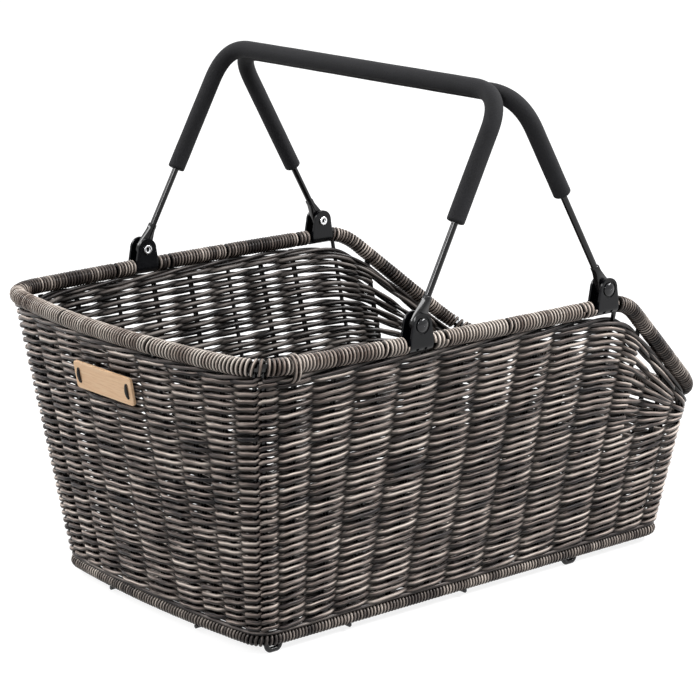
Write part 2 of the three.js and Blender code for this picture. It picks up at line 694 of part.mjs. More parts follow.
function bracket(name, pivotX, side) {
  const wireZ = -PIVOT_RISE;
  const arc = (radius, from, to) => spread(from, to, Math.PI / 8).map((angle) => (
    new THREE.Vector2(radius * Math.cos(angle), wireZ + radius * Math.sin(angle))
  ));
  const profile = new THREE.Shape([
    new THREE.Vector2(BRACKET_OUT, BRACKET_HEAD_R),
    new THREE.Vector2(BRACKET_GAP, BRACKET_HEAD_R),
    ...arc(BRACKET_GAP, 0, -Math.PI),
    new THREE.Vector2(-BRACKET_GAP, BRACKET_HEAD_R),
    new THREE.Vector2(-BRACKET_OUT, BRACKET_HEAD_R),
    ...arc(BRACKET_OUT, -Math.PI, 0),
  ]);
  const folded = new THREE.ExtrudeGeometry(profile, { depth: BRACKET_FOOT, bevelEnabled: false });
  folded.translate(0, 0, -BRACKET_FOOT / 2);
  folded.rotateX(Math.PI / 2);
  folded.rotateZ(Math.PI / 2);

  const low = wireZ - BRACKET_OUT - SEAT;
  const shoulder = wireZ + RIM_WIRE_R;
  const outline = new THREE.Shape();
  outline.moveTo(-BRACKET_FOOT / 2, low);
  outline.lineTo(BRACKET_FOOT / 2, low);
  outline.lineTo(BRACKET_FOOT / 2, shoulder);
  outline.lineTo(BRACKET_HEAD_R, 0);
  outline.absarc(0, 0, BRACKET_HEAD_R, 0, Math.PI, false);
  outline.lineTo(-BRACKET_FOOT / 2, shoulder);
  const face = new THREE.ExtrudeGeometry(outline, {
    depth: 4 * BRACKET_OUT, bevelEnabled: false, curveSegments: 8,
  });
  face.rotateX(Math.PI / 2);
  face.translate(0, 2 * BRACKET_OUT, 0);

  const pin = new THREE.CylinderGeometry(RIVET_R + SEAT, RIVET_R + SEAT, 4 * BRACKET_OUT, WRAP_SIDES);
  const recess = new THREE.CylinderGeometry(RECESS_R, RECESS_R, 2 * RECESS_DEPTH, 16);
  recess.translate(0, BRACKET_OUT, 0);
  const notches = [-NOTCH_OFFSET, NOTCH_OFFSET].map((x) => {
    const notch = new THREE.BoxGeometry(NOTCH_WIDTH, BRACKET_OUT, NOTCH_HEIGHT);
    notch.translate(x, BRACKET_OUT, wireZ - BRACKET_GAP);
    return notch;
  });
  const clevis = meshOf(name, cut(common(folded, face), pin, recess, ...notches), steel());
  clevis.position.copy(pivotAt(pivotX, side));
  if (side < 0) clevis.rotation.z = Math.PI;
  return clevis;
}

function pivotAt(x, side) {
  return new THREE.Vector3(x, longRim(x, side).y, PIVOT_Z);
}

// Rivet: a dome outside, a shank through ears and eye, a tubular tail inside
function rivet(name, pivotX, side) {
  const seat = BRACKET_OUT - RECESS_DEPTH + SEAT / 2;
  const tail = -BRACKET_OUT - SEAT / 2;
  const dome = spread(0, Math.PI / 2, Math.PI / 6).map((angle) => (
    new THREE.Vector2(RIVET_DOME_R * Math.cos(angle), seat + RIVET_DOME_H * Math.sin(angle))
  ));
  dome[dome.length - 1].x = 0;
  const profile = [
    new THREE.Vector2(0, tail - RIVET_TAIL_H + RIVET_TUBE_DEPTH),
    new THREE.Vector2(RIVET_TUBE_R, tail - RIVET_TAIL_H + RIVET_TUBE_DEPTH),
    new THREE.Vector2(RIVET_TUBE_R, tail - RIVET_TAIL_H),
    new THREE.Vector2(RIVET_TAIL_R, tail - RIVET_TAIL_H),
    new THREE.Vector2(RIVET_TAIL_R, tail),
    new THREE.Vector2(RIVET_R, tail),
    new THREE.Vector2(RIVET_R, seat),
    ...dome,
  ];
  const pinMesh = meshOf(name, new THREE.LatheGeometry(profile, WRAP_SIDES), rivetSteel());
  pinMesh.position.copy(pivotAt(pivotX, side));
  if (side < 0) pinMesh.rotation.z = Math.PI;
  return pinMesh;
}

// Handles: a bent rod with flattened eyes, and a foam grip over its top
function handleRoute(halfWidth) {
  const barHalf = halfWidth - HANDLE_DRAW_IN;
  const cornerAt = (side) => new THREE.Vector3(0, side * barHalf, HANDLE_REACH);
  const footAt = (side) => new THREE.Vector3(0, side * halfWidth, 0);
  const bend = (side) => {
    const corner = cornerAt(side);
    const down = footAt(side).sub(corner).normalize();
    const below = corner.clone().addScaledVector(down, HANDLE_BEND);
    const beside = new THREE.Vector3(0, side * (barHalf - HANDLE_BEND), HANDLE_REACH);
    return spread(0, 1, 1 / HANDLE_BEND_STEPS).map((share) => quadratic(below, corner, beside, share));
  };
  return [footAt(-1), ...bend(-1), ...reversed(bend(1)), footAt(1)];
}

function handleEye(halfWidth, side) {
  const outline = new THREE.Shape();
  const spreadAngle = Math.asin((EYE_R - ROD_R) / EYE_NECK);
  outline.moveTo(ROD_R * Math.cos(spreadAngle), EYE_NECK);
  outline.lineTo(-ROD_R * Math.cos(spreadAngle), EYE_NECK);
  outline.absarc(0, 0, EYE_R, Math.PI - spreadAngle, 2 * Math.PI + spreadAngle, false);
  const eye = new THREE.ExtrudeGeometry(outline, {
    depth: EYE_THICKNESS, bevelEnabled: false, curveSegments: 6,
  });
  eye.rotateX(Math.PI / 2);
  eye.translate(0, side * halfWidth + EYE_THICKNESS / 2, 0);
  return eye;
}

function handleRod(name, halfWidth) {
  const route = handleRoute(halfWidth);
  const eyes = SIDES.map(({ side }) => handleEye(halfWidth, side));
  const holes = SIDES.map(({ side }) => {
    const hole = new THREE.CylinderGeometry(RIVET_R + SEAT, RIVET_R + SEAT, 4 * EYE_THICKNESS, WRAP_SIDES);
    hole.translate(0, side * halfWidth, 0);
    return hole;
  });
  return meshOf(name, cut(join(rod(route, ROD_R), ...eyes), ...holes), steel());
}

function handleGrip(name, halfWidth, slip) {
  const route = handleRoute(halfWidth);
  const startAt = (foot, towards, reach) => {
    const way = towards.clone().sub(foot).normalize();
    return foot.clone().addScaledVector(way, reach);
  };
  const start = startAt(route[0], route[1], GRIP_START + slip);
  const stop = startAt(route[route.length - 1], route[route.length - 2], GRIP_START - slip);
  return meshOf(name, sleeve([start, ...route.slice(1, -1), stop], GRIP_R, ROD_R + SEAT, GRIP_SIDES), foam());
}

// The grips lean on each other a little to the tall end's side of halfway between the pivots: the first
// handle reaches up to there, and the second one comes to rest against it
function handleTilts() {
  const halfway = (PIVOT_2_X - PIVOT_1_X) / 2;
  const first = Math.asin((halfway - MEETING_OFFSET - GRIPS_APART / 2) / HANDLE_REACH);
  const across = PIVOT_2_X - PIVOT_1_X - HANDLE_REACH * Math.sin(first);
  const up = HANDLE_REACH * Math.cos(first);
  const far = Math.hypot(across, up);
  const between = Math.acos((far ** 2 + HANDLE_REACH ** 2 - GRIPS_APART ** 2) / (2 * far * HANDLE_REACH));
  return { first, second: between - Math.atan2(across, up) };
}

function handle(number, pivotX, tilt, slip) {
  const halfWidth = longRim(pivotX, 1).y;
  const bail = new THREE.Group();
  bail.position.set(pivotX, 0, PIVOT_Z);
  bail.rotation.y = tilt;
  bail.add(handleRod(`handle_${number}_rod`, halfWidth));
  bail.add(handleGrip(`handle_${number}_grip`, halfWidth, slip));
  return bail;
}

// Badge plate on the tall end, held by two ties through its slots
function badge() {
  const share = (BADGE_Z - BASE_Z) / RIM_HEIGHT;
  const pair = endPair(tallEnd, BADGE_Y);
  const seat = pair.base.clone().lerp(pair.rim, share);
  const lean = Math.atan2(pair.base.x - pair.rim.x, RIM_HEIGHT);
  const group = new THREE.Group();
  group.position.set(seat.x, BADGE_Y, BADGE_Z);
  group.rotation.y = -lean;

  const corner = BADGE_ROUND;
  const [halfW, halfH] = [BADGE_WIDTH / 2, BADGE_HEIGHT / 2];
  const outline = new THREE.Shape();
  outline.absarc(halfW - corner, -halfH + corner, corner, -Math.PI / 2, 0, false);
  outline.absarc(halfW - corner, halfH - corner, corner, 0, Math.PI / 2, false);
  outline.absarc(-halfW + corner, halfH - corner, corner, Math.PI / 2, Math.PI, false);
  outline.absarc(-halfW + corner, -halfH + corner, corner, Math.PI, 1.5 * Math.PI, false);
  const back = -(WALL_HALF / Math.cos(lean) + SEAT);
  const plate = new THREE.ExtrudeGeometry(outline, {
    depth: BADGE_THICKNESS, bevelEnabled: false, curveSegments: 3,
  });
  plate.rotateX(Math.PI / 2).rotateZ(-Math.PI / 2);
  plate.computeBoundingBox();
  plate.translate(back - plate.boundingBox.max.x, 0, 0);
  const slotY = halfW - BADGE_SLOT_INSET;
  const slots = SIDES.map(({ side }) => {
    const slot = new THREE.BoxGeometry(4 * BADGE_THICKNESS, BADGE_SLOT_WIDTH, BADGE_SLOT_HEIGHT);
    return slot.translate(back, side * slotY, 0);
  });
  group.add(meshOf('badge_plate', cut(plate, ...slots), wood()));
  for (const { side, label } of SIDES) {
    const depth = BADGE_THICKNESS + TIE_PROUD;
    const tie = new THREE.BoxGeometry(depth, BADGE_SLOT_WIDTH - 2 * SEAT, BADGE_SLOT_HEIGHT - 2 * SEAT);
    tie.translate(back - depth / 2, side * slotY, 0);
    group.add(meshOf(`badge_tie_${label}`, tie, strap()));
  }
  return group;
}

const middleX = (RIM_LENGTH + LOW_BOW - TALL_BOW) / 2;
const basket = new THREE.Group();
basket.add(meshOf('rim_wire', rod(rimOf(wholeLoop), RIM_WIRE_R, INNER_WIRE_SIDES), steel()));
basket.add(meshOf('base_wire', rod(baseOf(wholeLoop), BASE_WIRE_R, INNER_WIRE_SIDES), steel()));
for (const { name, pair } of uprights) basket.add(meshOf(name, uprightRod(pair), steel()));
basket.add(...walls(), floorPanel(), ...floorWires());
for (const { name, x, side } of feet) basket.add(meshOf(name, footLoop(x, side), steel()));
basket.add(...rimWraps(), ...openTurns(), baseWrap());
for (const { side, label } of SIDES) {
  basket.add(bracket(`bracket_${label}_1`, PIVOT_1_X, side), rivet(`rivet_${label}_1`, PIVOT_1_X, side));
  basket.add(bracket(`bracket_${label}_2`, PIVOT_2_X, side), rivet(`rivet_${label}_2`, PIVOT_2_X, side));
}
basket.add(badge());
const tilts = handleTilts();
basket.add(handle(1, PIVOT_1_X, tilts.first, GRIP_1_SLIP));
basket.add(handle(2, PIVOT_2_X, tilts.second, GRIP_2_SLIP));
basket.position.x = -middleX;

const object = new THREE.Group();
object.add(basket);

export default object;
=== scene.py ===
import json
import math

import bmesh
import bpy
import numpy as np
from mathutils import Matrix

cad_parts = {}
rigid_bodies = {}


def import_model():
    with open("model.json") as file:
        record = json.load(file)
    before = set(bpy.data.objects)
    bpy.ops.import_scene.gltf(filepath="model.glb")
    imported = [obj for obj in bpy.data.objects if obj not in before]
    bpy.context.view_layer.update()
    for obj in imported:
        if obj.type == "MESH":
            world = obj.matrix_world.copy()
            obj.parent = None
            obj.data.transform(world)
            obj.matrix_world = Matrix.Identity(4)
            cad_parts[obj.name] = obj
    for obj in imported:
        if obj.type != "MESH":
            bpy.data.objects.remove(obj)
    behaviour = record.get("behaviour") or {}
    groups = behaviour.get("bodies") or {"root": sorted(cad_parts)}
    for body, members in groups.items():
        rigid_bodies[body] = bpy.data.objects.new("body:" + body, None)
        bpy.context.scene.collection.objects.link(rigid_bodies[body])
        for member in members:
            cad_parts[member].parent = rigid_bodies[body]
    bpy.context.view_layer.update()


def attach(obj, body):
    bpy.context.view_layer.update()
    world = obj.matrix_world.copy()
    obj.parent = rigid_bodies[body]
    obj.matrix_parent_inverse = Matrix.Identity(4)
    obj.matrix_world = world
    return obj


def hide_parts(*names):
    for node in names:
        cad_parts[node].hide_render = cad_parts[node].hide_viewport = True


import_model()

# A woven bicycle basket on a steel wire frame, with two folding carrying handles.
# Shapes are worked out in millimetres in the CAD source's own axes, whose origin lies
# below the tall end's rim corners, and put in place in metres by placed().
MIDDLE_X = 208.8

# Sizes that the CAD source also gives
BASE_TALL_X, BASE_LOW_X, BASE_WIDTH = 28.3, 414.0, 223.0
BASE_TALL_BOW, BASE_LOW_BOW, BASE_ROUND, BASE_Z = 7.0, 2.0, 13.0, 9.0
RIM_LENGTH, RIM_Z, LOW_RIM_Z = 431.8, 207.8, 116.6
KNEE_X, KNEE_ROUND = 323.8, 14.0
TALL_WIDTH, KNEE_WIDTH, LOW_WIDTH = 286.7, 311.3, 259.6
TALL_BOW, LOW_BOW, LONG_BOW, RIM_ROUND = 16.2, 2.0, 5.4, 25.0
PIVOT_X, PIVOT_Z = {1: 126.0, 2: 300.0}, 221.0
BRACKET_GAP, BRACKET_PLATE, BRACKET_FOOT, HEAD_R = 3.83, 1.8, 20.0, 8.2
RECESS_R, RECESS_DEPTH = 6.2, 0.6

SIDES = ((-1, "near"), (1, "far"))
BRACKETS = [(side, label, number) for side, label in SIDES for number in (1, 2)]
DRIFT_KNOTS = 4096


# Small helpers
def placed(points):
    points = np.array(points, float)
    points[..., 0] -= MIDDLE_X
    return points * 0.001


def xyz(x, y, z):
    return np.stack(np.broadcast_arrays(x, y, z), -1)


def unit(vectors):
    length = np.linalg.norm(vectors, axis=-1, keepdims=True)
    return vectors / np.maximum(length, 1e-9)


def quadratic(a, b, c, share):
    t = np.asarray(share, float)[..., None]
    return (1 - t) ** 2 * a + 2 * t * (1 - t) * b + t ** 2 * c


def soft_min(a, b, reach):
    return (a + b) / 2 - np.sqrt(((a - b) / 2) ** 2 + reach ** 2)


def drift(values, seed, scale):
    """A smooth random wave over some values, between about -1 and 1."""
    knots = np.random.default_rng(seed).uniform(-1, 1, DRIFT_KNOTS)
    at = np.asarray(values, float) / scale + 1000
    low = np.floor(at).astype(int)
    share = at - low
    share = share * share * (3 - 2 * share)
    return knots[low % DRIFT_KNOTS] * (1 - share) + knots[(low + 1) % DRIFT_KNOTS] * share


def full_turn(count):
    """Angles spread evenly over one turn."""
    return 2 * np.pi * np.arange(count) / count


def distances(points):
    """How far each point lies along the way through them all."""
    return np.concatenate([[0], np.cumsum(np.linalg.norm(np.diff(points, axis=0), axis=1))])


def along_way(run, lengths, points):
    """Places at some distances along the way through some points."""
    return xyz(*(np.interp(run, lengths, column) for column in points.T))


def tube_faces(rings, sides, closed=False):
    """Quads from each ring of points to the next, and the two end faces."""
    ring = np.arange(rings if closed else rings - 1)[:, None]
    here, there = ring * sides, (ring + 1) % rings * sides
    k = np.arange(sides)
    after = (k + 1) % sides
    quads = np.stack([here + k, here + after, there + after, there + k], -1).reshape(-1, 4)
    return quads, np.stack([k[::-1], k + (rings - 1) * sides])


def add_object(name, data):
    made = bpy.data.objects.new(name, data)
    bpy.context.scene.collection.objects.link(made)
    return made


def ride_on(piece, body, slot, *nodes):
    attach(piece, body)
    if nodes:
        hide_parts(*nodes)


def make_piece(name, verts, faces, material, attributes=None):
    """One smooth object from vertices in mm and blocks of faces."""
    mesh = bpy.data.meshes.new(name)
    corners = [face for block in faces for face in block.tolist()]
    mesh.from_pydata(placed(verts).tolist(), [], corners, shade_flat=False)
    for key, values in (attributes or {}).items():
        layer = mesh.attributes.new(key, "FLOAT", "POINT")
        layer.data.foreach_set("value", np.asarray(values, np.float32))
    mesh.validate()
    mesh.materials.append(material)
    return add_object(name, mesh)


class Bundle:
    """Many tubes gathered into one mesh."""

    def __init__(self):
        self.verts, self.quads, self.ends, self.traits = [], [], [], []
        self.count = 0

    def tube(
        self, points, normals, thick, wide, sides=8, lane=0.0, run_from=0.0, closed=False,
        crest=1.0, highlight_brow=0.7,
    ):
        """A tube whose section is thick along the normals and wide across them. Crest says how far
        it stands out along the normals, from -1 to 1, and so which of its faces lie in the weave and
        get painted shade, and highlight_brow is how much painted highlight its upper edge gets."""
        number = len(points)
        if closed:
            ahead = unit(np.roll(points, -1, axis=0) - np.roll(points, 1, axis=0))
        else:
            ahead = unit(np.gradient(points, axis=0))
        normals = unit(normals - ahead * np.sum(normals * ahead, axis=1, keepdims=True))
        across = np.cross(ahead, normals)
        thick, wide = (np.broadcast_to(size, number)[:, None, None] for size in (thick, wide))
        cosine, sine = np.cos(full_turn(sides)), np.sin(full_turn(sides))
        ring = (
            cosine[:, None] * normals[:, None] * thick + sine[:, None] * across[:, None] * wide
        )
        self.verts.append((points[:, None] + ring).reshape(-1, 3))
        quads, ends = tube_faces(number, sides, closed)
        self.quads.append(quads + self.count)
        if not closed:
            self.ends.append(ends + self.count)
        self.count += number * sides
        # Painted light: painted shade on the faces that lie in the weave, and a painted highlight on
        # the upper edge of the side that stands out
        edge = highlight_brow * np.sign(across[:, 2])[:, None] * sine
        facing = math.sqrt(1 - highlight_brow * highlight_brow) * cosine
        crest = np.broadcast_to(crest, number)[:, None]
        outer = np.clip(0.4 + crest, 0, 1) * (edge + facing)
        # The inner side gets a little more painted shade than the outer side
        inner = 0.85 * np.clip(0.4 - crest, 0, 1) * (edge - facing)
        self.traits.append({
            "run": np.repeat(run_from + distances(points), sides),
            "lane": np.full(number * sides, lane),
            "face_on": np.tile(cosine, number),
            "edge_on": np.tile(sine, number),
            "painted_light": np.clip(np.maximum(outer, inner), 0, 1).ravel(),
        })

    def piece(self, name, material):
        faces = [np.concatenate(blocks) for blocks in (self.quads, self.ends) if blocks]
        traits = {
            key: np.concatenate([tube[key] for tube in self.traits]) for key in self.traits[0]
        }
        return make_piece(name, np.concatenate(self.verts), faces, material, traits)


# Outlines of the rim wire and the base wire, as the CAD source has them
def long_rim(x, side):
    x = np.asarray(x, float)

    def sharp(along):
        level = np.minimum(along / KNEE_X, 1)
        slope = np.maximum(0, (along - KNEE_X) / (RIM_LENGTH - KNEE_X))
        bow = 4 * LONG_BOW * level * (1 - level)
        width = TALL_WIDTH + (KNEE_WIDTH - TALL_WIDTH) * level + (LOW_WIDTH - KNEE_WIDTH) * slope
        return xyz(along, side * (width / 2 + bow), RIM_Z + (LOW_RIM_Z - RIM_Z) * slope)

    corner = sharp(np.array([KNEE_X - KNEE_ROUND, KNEE_X, KNEE_X + KNEE_ROUND]))
    share = np.clip((x - KNEE_X + KNEE_ROUND) / (2 * KNEE_ROUND), 0, 1)
    inside = np.abs(x - KNEE_X) < KNEE_ROUND
    return np.where(inside[..., None], quadratic(*corner, share), sharp(x))


def long_base(x, side):
    return xyz(x, side * BASE_WIDTH / 2, BASE_Z)


def pivot_y(number, side):
    """How far across the basket a handle's pivot is."""
    return long_rim(PIVOT_X[number], side)[1]


class Outline:
    """A wire's closed way, from the tall near corner along the near side. Each of its ends is
    given by its x at the corners, how far it bows out, half its width and its height."""

    def __init__(self, long_side, reach, tall, low):
        self.long_side, self.reach, self.end_sizes = long_side, reach, (tall, low)
        up, down = np.linspace(0, 1, 25), np.linspace(1, 0, 25)
        x = np.linspace(tall[0] + reach, low[0] - reach, 300)
        half_tall, half_low = tall[2] - reach, low[2] - reach
        self.points = np.concatenate([
            long_side(x, -1),
            self.corner(True, -1, down)[1:],
            self.end(True, np.linspace(-half_low, half_low, 120))[1:],
            self.corner(True, 1, up)[1:],
            long_side(x[::-1], 1)[1:],
            self.corner(False, 1, down)[1:],
            self.end(False, np.linspace(half_tall, -half_tall, 120))[1:],
            self.corner(False, -1, up)[1:],
        ])
        self.lengths = distances(self.points)
        self.total = self.lengths[-1]

    def end(self, low, y):
        x, bow, half, z = self.end_sizes[low]
        return xyz(x + bow * (1 - (y / half) ** 2), y, z)

    def corner(self, low, side, share):
        """Round a corner, share 0 on the end and 1 on the long side."""
        x, _, half, z = self.end_sizes[low]
        first = self.end(low, side * (half - self.reach))
        last = self.long_side(x - self.reach if low else x + self.reach, side)
        return quadratic(first, np.array([x, side * half, z]), last, share)

    def at(self, run):
        return along_way(np.mod(run, self.total), self.lengths, self.points)

    def at_stakes(self, u):
        """Places counted in stakes, which may pass the first one."""
        turns = np.floor(u / STAKES)
        run = np.interp(u - turns * STAKES, np.arange(STAKES + 1), self.stakes)
        return self.at(run + turns * self.total)

    def find(self, point):
        """Distance along the way at the place nearest to a point."""
        a, way = self.points[:-1], np.diff(self.points, axis=0)
        size = np.sum(way * way, axis=1)
        share = np.clip(np.sum((point - a) * way, axis=1) / size, 0, 1)
        best = np.argmin(np.sum((a + way * share[:, None] - point) ** 2, axis=1))
        return self.lengths[best] + share[best] * math.sqrt(size[best])

    def directions(self, run, step):
        """Way along and way out, level, at distances along the outline."""
        ahead = unit(self.at(run + step) - self.at(run - step))
        return ahead, unit(xyz(ahead[..., 1], -ahead[..., 0], 0))


rim_way = Outline(
    long_rim, RIM_ROUND, (0.0, -TALL_BOW, TALL_WIDTH / 2, RIM_Z),
    (RIM_LENGTH, LOW_BOW, LOW_WIDTH / 2, LOW_RIM_Z),
)
base_way = Outline(
    long_base, BASE_ROUND, (BASE_TALL_X, -BASE_TALL_BOW, BASE_WIDTH / 2, BASE_Z),
    (BASE_LOW_X, BASE_LOW_BOW, BASE_WIDTH / 2, BASE_Z),
)

# Stakes: where each one meets the rim, and where the base, in x along the long sides and in y
# across the ends. Those that are steel are in the CAD model.
LONG_STAKES = {
    27: 53, 59: 78, 98: 103, 133: 139, 168: 175, 205.5: 211.5, 238: 247, 270: 283, 313: 320,
    345: 351, 388: 382,
}
TALL_STAKES = {112: 91, 81: 70, 50: 50, 17: 17, -17: -17, -50: -50, -81: -70, -112: -91}
LOW_STAKES = {-104: -91, -78: -70, -50: -50, -17: -17, 17: 17, 50: 50, 78: 70, 104: 91}
STEEL_AT = {98, 205.5, 313, 50, -50}
CORNER_OFFSET = 2.95


def corner_stakes(low, side):
    """The two corner stakes, the one on the end first."""
    step = CORNER_OFFSET if (side < 0) != low else -CORNER_OFFSET
    rim, base = (way.find(way.corner(low, side, 0.5)) for way in (rim_way, base_way))
    return [(rim - step, base - step, True), (rim + step, base + step, True)]


def stakes_along(places, point):
    """Each stake's distances along the rim and the base, and whether it is steel."""
    return [
        (rim_way.find(point(rim_way, at)), base_way.find(point(base_way, base_at)), at in STEEL_AT)
        for at, base_at in places.items()
    ]


def long_stakes(side):
    return stakes_along(LONG_STAKES, lambda way, x: way.long_side(x, side))


# In order round the basket from the tall near corner
stakes = [
    corner_stakes(False, -1)[1], *long_stakes(-1), *corner_stakes(True, -1)[::-1],
    *stakes_along(LOW_STAKES, lambda way, y: way.end(True, y)), *corner_stakes(True, 1),
    *long_stakes(1)[::-1], *corner_stakes(False, 1)[::-1],
    *stakes_along(TALL_STAKES, lambda way, y: way.end(False, y)), corner_stakes(False, -1)[0],
]
STAKES = len(stakes)


def unwrapped(values, total):
    """Distances that keep rising, from the first one to the same place a turn later."""
    rising = [values[0] - total if values[0] > total / 2 else values[0]]
    for value in values[1:]:
        while value < rising[-1]:
            value += total
        rising.append(value)
    return np.array([*rising, rising[0] + total])


rim_way.stakes = unwrapped([stake[0] for stake in stakes], rim_way.total)
base_way.stakes = unwrapped([stake[1] for stake in stakes], base_way.total)


def wall_point(u, z):
    """A point of the wall's middle surface."""
    rim, base = rim_way.at_stakes(u), base_way.at_stakes(u)
    return base + (rim - base) * ((z - BASE_Z) / (rim[:, 2] - BASE_Z))[:, None]


def wall_out(u, z):
    """The wall's outward direction."""
    ahead = wall_point(u + 0.06, z) - wall_point(u - 0.06, z)
    ahead[:, 2] = 0
    return unit(np.cross(ahead, wall_point(u, z + 1) - wall_point(u, z - 1)))


def off_wall(u, z, reach):
    """Points at some distances outside the wall's middle surface, and the way out at each."""
    out = wall_out(u, z)
    return wall_point(u, z) + out * reach[:, None], out


# Materials
def linear(c):
    return c / 12.92 if c <= 0.04045 else ((c + 0.055) / 1.055) ** 2.4


class Graph:
    """The shader nodes of a new material or world. Most methods add a node and give its output."""

    def __init__(self, name, library=bpy.data.materials):
        self.owner = library.new(name)
        self.owner.use_nodes = True
        self.nodes, self.links = self.owner.node_tree.nodes, self.owner.node_tree.links

    def fill(self, sockets, values):
        """Links or sets inputs by their name or place."""
        for key, value in values.items():
            if isinstance(value, bpy.types.NodeSocket):
                self.links.new(value, sockets[key])
            else:
                sockets[key].default_value = value

    def add(self, kind, inputs, output=0, **settings):
        node = self.nodes.new("ShaderNode" + kind)
        for key, value in settings.items():
            setattr(node, key, value)
        self.fill(node.inputs, inputs)
        return node.outputs[output]

    def maths(self, operation, a, b):
        return self.add("Math", {0: a, 1: b}, operation=operation)

    def blend(self, first, *others):
        """The sum of some values, each times its share."""
        total = self.maths("MULTIPLY", *first)
        for part in others:
            total = self.maths("ADD", total, self.maths("MULTIPLY", *part))
        return total

    def attribute(self, name):
        return self.add("Attribute", {}, "Fac", attribute_name=name)

    def coords(self, scale=(1, 1, 1)):
        place = self.add("TexCoord", {}, "Object")
        return self.add("Mapping", {"Vector": place, "Scale": scale}, "Vector")

    def noise(self, vector, scale, detail=2.0, roughness=0.5):
        inputs = {"Vector": vector, "Scale": scale, "Detail": detail, "Roughness": roughness}
        return self.add("TexNoise", inputs, "Fac")

    def ramp(self, factor, stops):
        """Blends between colours in 8-bit sRGB or plain levels, each given with its place."""
        node = self.nodes.new("ShaderNodeValToRGB")
        elements = node.color_ramp.elements
        while len(elements) < len(stops):
            elements.new(0.5)
        for element, (place, tone) in zip(elements, stops):
            tone = [linear(c / 255) for c in tone] if isinstance(tone, tuple) else [tone] * 3
            element.position = place
            element.color = (*tone, 1)
        self.links.new(factor, node.inputs["Fac"])
        return node.outputs["Color"]

    def shade(self, colour, rough, bumps, specular=0.5, metal=0.0):
        """Fills the main shader and gives the material. Bumps are a height, how strong they are
        and how far they reach in metres."""
        normal = self.add("Bump", dict(zip(("Height", "Strength", "Distance"), bumps)), "Normal")
        self.fill(self.nodes["Principled BSDF"].inputs, {
            "Base Color": colour, "Roughness": rough, "Normal": normal,
            "Specular IOR Level": specular, "Metallic": metal,
        })
        return self.owner


def strand_material(
    name, shares, drift_scale, stops, gloss=(0.24, 0.4), recess=0.1, faces=(0.34, 0.75, 0.965),
):
    """Shiny plastic cane. Its colour drifts over patches of the weave and along each strand, fine
    streaks run along it, and painted shade darkens the faces that lie in the weave, leaving a
    painted highlight on the upper edges of the faces that stand out."""
    graph = Graph(name)
    run, lane = graph.attribute("run"), graph.attribute("lane")
    patches = graph.noise(graph.coords((1, 1, 3.2)), 16.0, 3.0, 0.6)
    along = {"X": graph.maths("MULTIPLY", run, drift_scale), "Y": lane}
    own = graph.noise(graph.add("CombineXYZ", along), 1.0, 3.0, 0.6)
    # These coordinates also go round a strand, so that streaks run along it
    round_it = {
        "X": graph.maths("MULTIPLY", run, 0.03),
        "Y": graph.blend((graph.attribute("face_on"), 1.1), (lane, 3.7)),
        "Z": graph.maths("MULTIPLY", graph.attribute("edge_on"), 1.1),
    }
    streaks = graph.noise(graph.add("CombineXYZ", round_it), 1.0, 3.0, 0.65)
    mixed = graph.blend((patches, shares[0]), (own, shares[1]), (streaks, shares[2]))
    colours = graph.ramp(mixed, stops)
    # Painted shade: faces that lie in the weave are darkened down to the recess level, while the
    # faces that stand out most, and their upper edges, stay light as a painted highlight
    painted_light_stops = [(faces[0], recess), (faces[1], 0.2 + 0.8 * recess), (faces[2], 1.0)]
    painted_light_mix = {"Factor": 1.0, "A": colours, "B": graph.ramp(graph.attribute("painted_light"), painted_light_stops)}
    colours = graph.add("Mix", painted_light_mix, "Result", data_type="RGBA", blend_type="MULTIPLY")
    shine = graph.ramp(streaks, [(0.35, gloss[0]), (0.65, gloss[1])])
    return graph.shade(colours, shine, (streaks, 0.2, 0.0002), 0.16)


weave_mat = strand_material("woven_cane", (0.16, 0.42, 0.42), 0.014, [
    (0.38, (38, 35, 39)), (0.43, (82, 75, 74)), (0.48, (147, 133, 126)),
    (0.52, (206, 189, 179)), (0.57, (252, 237, 225)),
])
# A darker copy of the woven cane for the far wall, whose inner face is what is seen: painted shade
# for the inside of the basket
shaded_inner_mat = strand_material("inner_cane", (0.16, 0.42, 0.42), 0.014, [
    (0.38, (24, 22, 25)), (0.43, (50, 46, 46)), (0.48, (90, 83, 79)),
    (0.52, (134, 124, 119)), (0.58, (196, 186, 179)),
])
border_mat = strand_material("border_cane", (0.1, 0.45, 0.45), 0.01, [
    (0.4, (36, 34, 38)), (0.5, (106, 98, 96)), (0.6, (206, 194, 186)),
])
stake_mat = strand_material("stake_cane", (0.4, 0.28, 0.32), 0.02, [
    (0.4, (8, 8, 9)), (0.5, (17, 15, 15)), (0.6, (32, 28, 26)),
])
# Rim, dark rim and base canes: the last two values set how dark the painted shade between turns is
# and where it gives way to a painted highlight along each turn
rim_mat = strand_material("rim_cane", (0.15, 0.5, 0.35), 0.0035, [
    (0.38, (70, 58, 54)), (0.44, (136, 119, 110)), (0.5, (214, 198, 186)), (0.57, (252, 240, 228)),
], (0.2, 0.32), 0.07, (0.5, 0.8, 0.97))
dark_rim_mat = strand_material("dark_rim_cane", (0.15, 0.45, 0.4), 0.0035, [
    (0.38, (26, 23, 23)), (0.45, (60, 52, 50)), (0.52, (122, 110, 103)), (0.58, (220, 206, 195)),
], (0.2, 0.32), 0.07, (0.45, 0.78, 0.97))
base_mat = strand_material("base_cane", (0.25, 0.45, 0.3), 0.008, [
    (0.38, (46, 42, 43)), (0.45, (104, 95, 91)), (0.52, (180, 167, 158)), (0.58, (240, 226, 214)),
], (0.2, 0.32), 0.07, (0.4, 0.75, 0.96))


